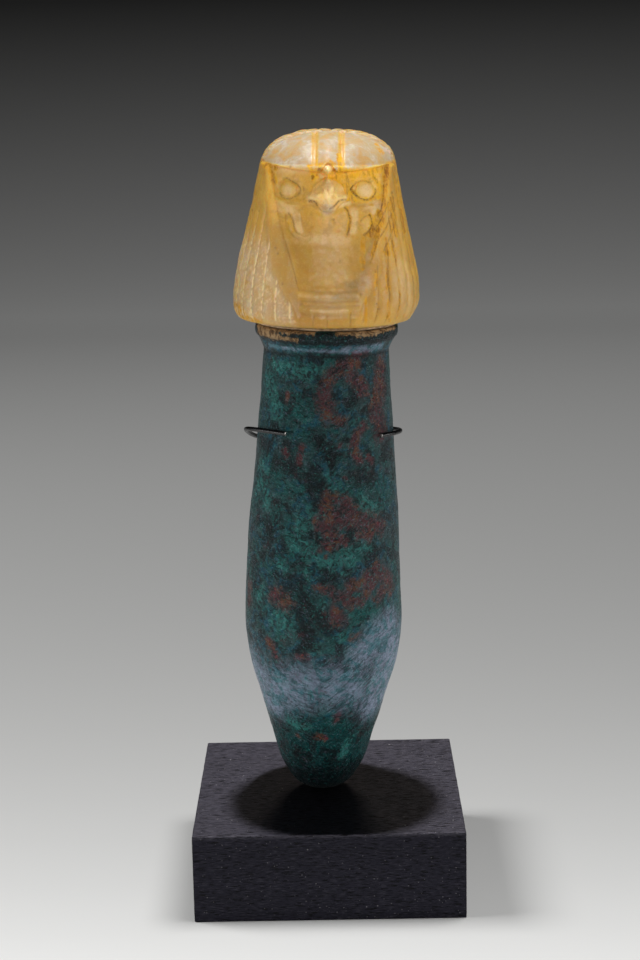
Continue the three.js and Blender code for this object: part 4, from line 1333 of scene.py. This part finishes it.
def make_block(material):
    """A square slab. Its outline is a square with rounded corners, and rings of it run from the
    middle of the underside, round the lower edge, up the sides, round the upper edge and in to
    the middle of the top. The edges are worn unevenly."""
    corner = np.linspace(0, np.pi / 2, 7)
    flat = BLOCK_HALF - EDGE_ROUND
    stops = np.linspace(-1, 1, 81)[1:-1] * flat
    right_side = np.column_stack([np.full(stops.shape, BLOCK_HALF), stops])
    right_corner = flat + EDGE_ROUND * np.column_stack([np.cos(corner), np.sin(corner)])
    quarter = np.vstack([right_side, right_corner])
    quarters = [quarter @ np.array([[c, s], [-s, c]]) for c, s in ((1, 0), (0, 1), (-1, 0), (0, -1))]
    outline = np.vstack(quarters)
    inset = EDGE_ROUND * (1 - np.sin(corner))
    rise = EDGE_ROUND * (1 - np.cos(corner))
    under = np.linspace(0.02, 0.985, 12)
    over = np.linspace(0.985, 0.02, 40)
    middle = np.linspace(EDGE_ROUND, BLOCK_TOP - EDGE_ROUND, 30)[1:-1]
    drawn_in = 1 - inset / BLOCK_HALF
    scales = np.concatenate([under, drawn_in, np.ones(len(middle)), drawn_in[::-1], over])
    levels = np.concatenate([0 * under, rise, middle, BLOCK_TOP - rise[::-1], BLOCK_TOP + 0 * over])
    flat_rings = outline[None] * scales[:, None, None]
    rings = np.concatenate([flat_rings, levels[:, None, None] + 0 * flat_rings[..., :1]], axis=-1)
    off_side = np.abs(np.abs(rings[..., :2]).max(axis=-1) - BLOCK_HALF)
    off_level = np.minimum(levels, BLOCK_TOP - levels)[:, None]
    edge = ease(1.6, 0, np.hypot(off_side, off_level))
    wear = edge * (0.04 + 0.04 * waves(rings, 6, 14, seed=31))
    inward = rings - [0, 0, BLOCK_TOP / 2]
    inward /= np.linalg.norm(inward, axis=-1, keepdims=True)
    rings = rings - inward * np.clip(wear, 0, None)[..., None]
    rings[..., 2] = np.where(levels[:, None] == 0, 0, rings[..., 2])
    vertices, faces = close_rings(rings, (0, 0, 0), (0, 0, BLOCK_TOP))
    top = np.broadcast_to(ease(BLOCK_TOP - 1.0, BLOCK_TOP - 0.1, levels)[:, None], edge.shape)
    values = {"edge": add_caps(edge), "top": add_caps(top)}
    return make_piece("stained_block", vertices, faces, material, "wooden_block", values)


# ---- stage ----

# The paper sheet under and behind the object: it lies flat, then curves up into a wall.
SHEET_FRONT = -230.0
SHEET_BEND = 1500.0
SHEET_CURVE = 800.0
SHEET_TOP = 3000.0
SHEET_HALF_WIDTH = 2600.0

# Painted light on the sheet: a pool of light painted even in front of the block and fading to a
# # middle grey behind the object, and painted shade darkening steadily up the curve. The ways are
# # measured back from under the object.
SHEET_LIT = 0.90
SHEET_GREY = 0.325
SHEET_FADES_FROM = -100.0
SHEET_FADE = 190.0
SHEET_DARKENS_FROM = 1620.0
SHEET_DARK_AT = 2330.0
SHEET_SHADED = 0.08


def sheet_painted_light(way):
    """The grey, plus what is paler than it falling off as exp(-way / fade), and all of it times
    a share that drops in a straight line from 1 to the darkest."""
    faded = np.exp(-np.maximum(way - SHEET_FADES_FROM, 0) / SHEET_FADE)
    darkened = np.interp(way, (SHEET_DARKENS_FROM, SHEET_DARK_AT), (1, SHEET_SHADED))
    return (SHEET_GREY + (SHEET_LIT - SHEET_GREY) * faded) * darkened


def make_sheet():
    """A sheet swept across X along a line that runs back, round a quarter circle and up."""
    turn = np.linspace(0, np.pi / 2, 33)[1:-1]
    curve = np.column_stack([SHEET_BEND + SHEET_CURVE * np.sin(turn), SHEET_CURVE * (1 - np.cos(turn))])
    flat = np.column_stack([np.linspace(SHEET_FRONT, SHEET_BEND, 41), np.zeros(41)])
    wall_height = np.linspace(SHEET_CURVE, SHEET_TOP, 21)
    wall = np.column_stack([np.full(21, SHEET_BEND + SHEET_CURVE), wall_height])
    line = np.vstack([flat, curve, wall])
    tone = sheet_painted_light(way_along(line) + SHEET_FRONT)
    edges = (-SHEET_HALF_WIDTH, SHEET_HALF_WIDTH)
    sides = [np.column_stack([np.full(len(line), x), line]) for x in edges]
    here = np.arange(len(line) - 1)
    quads = np.stack([here, here + len(line), here + len(line) + 1, here + 1], axis=-1).tolist()
    mesh = bpy.data.meshes.new("backdrop")
    mesh.from_pydata((np.vstack(sides) * MM).tolist(), [], quads)
    mesh.shade_smooth()
    layer = mesh.attributes.new("tone", "FLOAT", "POINT")
    layer.data.foreach_set("value", np.tile(tone, 2).astype(np.float32))
    material, tree, shader = start_material("backdrop")
    colour = blend_colour(tree, read_value(tree, "tone"), (0.0, 0.0, 0.0), (1.0, 1.0, 0.985))
    tree.links.new(colour, shader.inputs["Base Color"])
    shader.inputs["Roughness"].default_value = 0.9
    shader.inputs["Specular IOR Level"].default_value = 0.0
    mesh.materials.append(material)
    sheet = bpy.data.objects.new("backdrop", mesh)
    bpy.context.scene.collection.objects.link(sheet)
    return sheet


def make_light(name, place, aim, power, width, height=None, only=(), shadows=(), tint=(1, 1, 1)):
    """A light that faces aim: a disc, or a rectangle where a height is given. It lights only
    the objects given, and where shadows is given only those objects shade it."""
    lamp = bpy.data.lights.new(name, "AREA")
    lamp.shape = "RECTANGLE" if height else "DISK"
    lamp.size = width * MM
    lamp.size_y = (height or width) * MM
    lamp.energy = power
    lamp.color = tint
    light = bpy.data.objects.new(name, lamp)
    place = Vector(place) * MM
    facing = (Vector(aim) * MM - place).to_track_quat("-Z", "Y")
    light.matrix_world = Matrix.Translation(place) @ facing.to_matrix().to_4x4()
    light.light_linking.receiver_collection = bpy.data.collections.new("lit by " + name)
    for receiver in only:
        light.light_linking.receiver_collection.objects.link(receiver)
    if shadows:
        light.light_linking.blocker_collection = bpy.data.collections.new("shading " + name)
    for blocker in shadows:
        light.light_linking.blocker_collection.objects.link(blocker)
    bpy.context.scene.collection.objects.link(light)


def make_world():
    """A dim grey room beyond the sheet."""
    world = bpy.data.worlds.new("studio")
    world.use_nodes = True
    world.node_tree.nodes["Background"].inputs["Color"].default_value = (0.03, 0.03, 0.03, 1)
    bpy.context.scene.world = world


def make_camera():
    """The camera stands a little above the lid's top, 0.7 m in front, and looks slightly down."""
    lens = bpy.data.cameras.new("camera")
    lens.lens = 73.5
    lens.sensor_width = 36
    camera = bpy.data.objects.new("camera", lens)
    place = Matrix.Translation(Vector((4.1, -718.7, 311.4)) * MM)
    yaw = Matrix.Rotation(math.radians(0.41), 4, "Z")
    pitch = Matrix.Rotation(math.radians(90 - 12.31), 4, "X")
    roll = Matrix.Rotation(math.radians(-1.146), 4, "Z")
    camera.matrix_world = place @ yaw @ pitch @ roll
    bpy.context.scene.collection.objects.link(camera)
    bpy.context.scene.camera = camera


lid = make_lid(make_calcite())
block = make_block(make_wood())
upper_pieces = [
    lid,
    make_jar(make_bronze()),
    make_plaster(make_plaster_material()),
    make_cradle(make_wire_material()),
]

make_camera()
make_world()
sheet = make_sheet()
make_light("overhead", (3, 152, 2483), (3, 0, 100), 53, 90, only=upper_pieces)
make_light("block_overhead", (3, 96, 1302), (3, 0, 33), 15, 50, only=[block])
make_light("sheet_overhead", (700, 100, 2400), (200, 300, 0), 33, 1300, only=[sheet], shadows=[block])
make_light("sheet_left", (-950, 120, 1250), (0, 100, 0), 14.5, 800, only=[sheet], shadows=[block])
make_light("left_softbox", (-1100, -330, 190), (0, 0, 150), 3.0, 800, 340, only=upper_pieces)
make_light("right_softbox", (1100, -100, 190), (0, 0, 150), 3.6, 800, 340, only=upper_pieces)
make_light("front_fill", (0, -1500, 400), (0, 0, 150), 3.4, 900, 700, only=upper_pieces)
make_light("lid_fill", (250, -1400, 440), (0, 0, 220), 8.8, 900, 900, only=[lid])
make_light("block_fill", (0, -1500, 10), (0, 0, 10), 5.0, 900, 60, only=[block])
make_light("block_back", (120, 1500, 1100), (0, 0, 30), 1.7, 600, only=[block], tint=(1, 0.87, 0.78))
bpy.context.scene.view_settings.view_transform = "Standard"
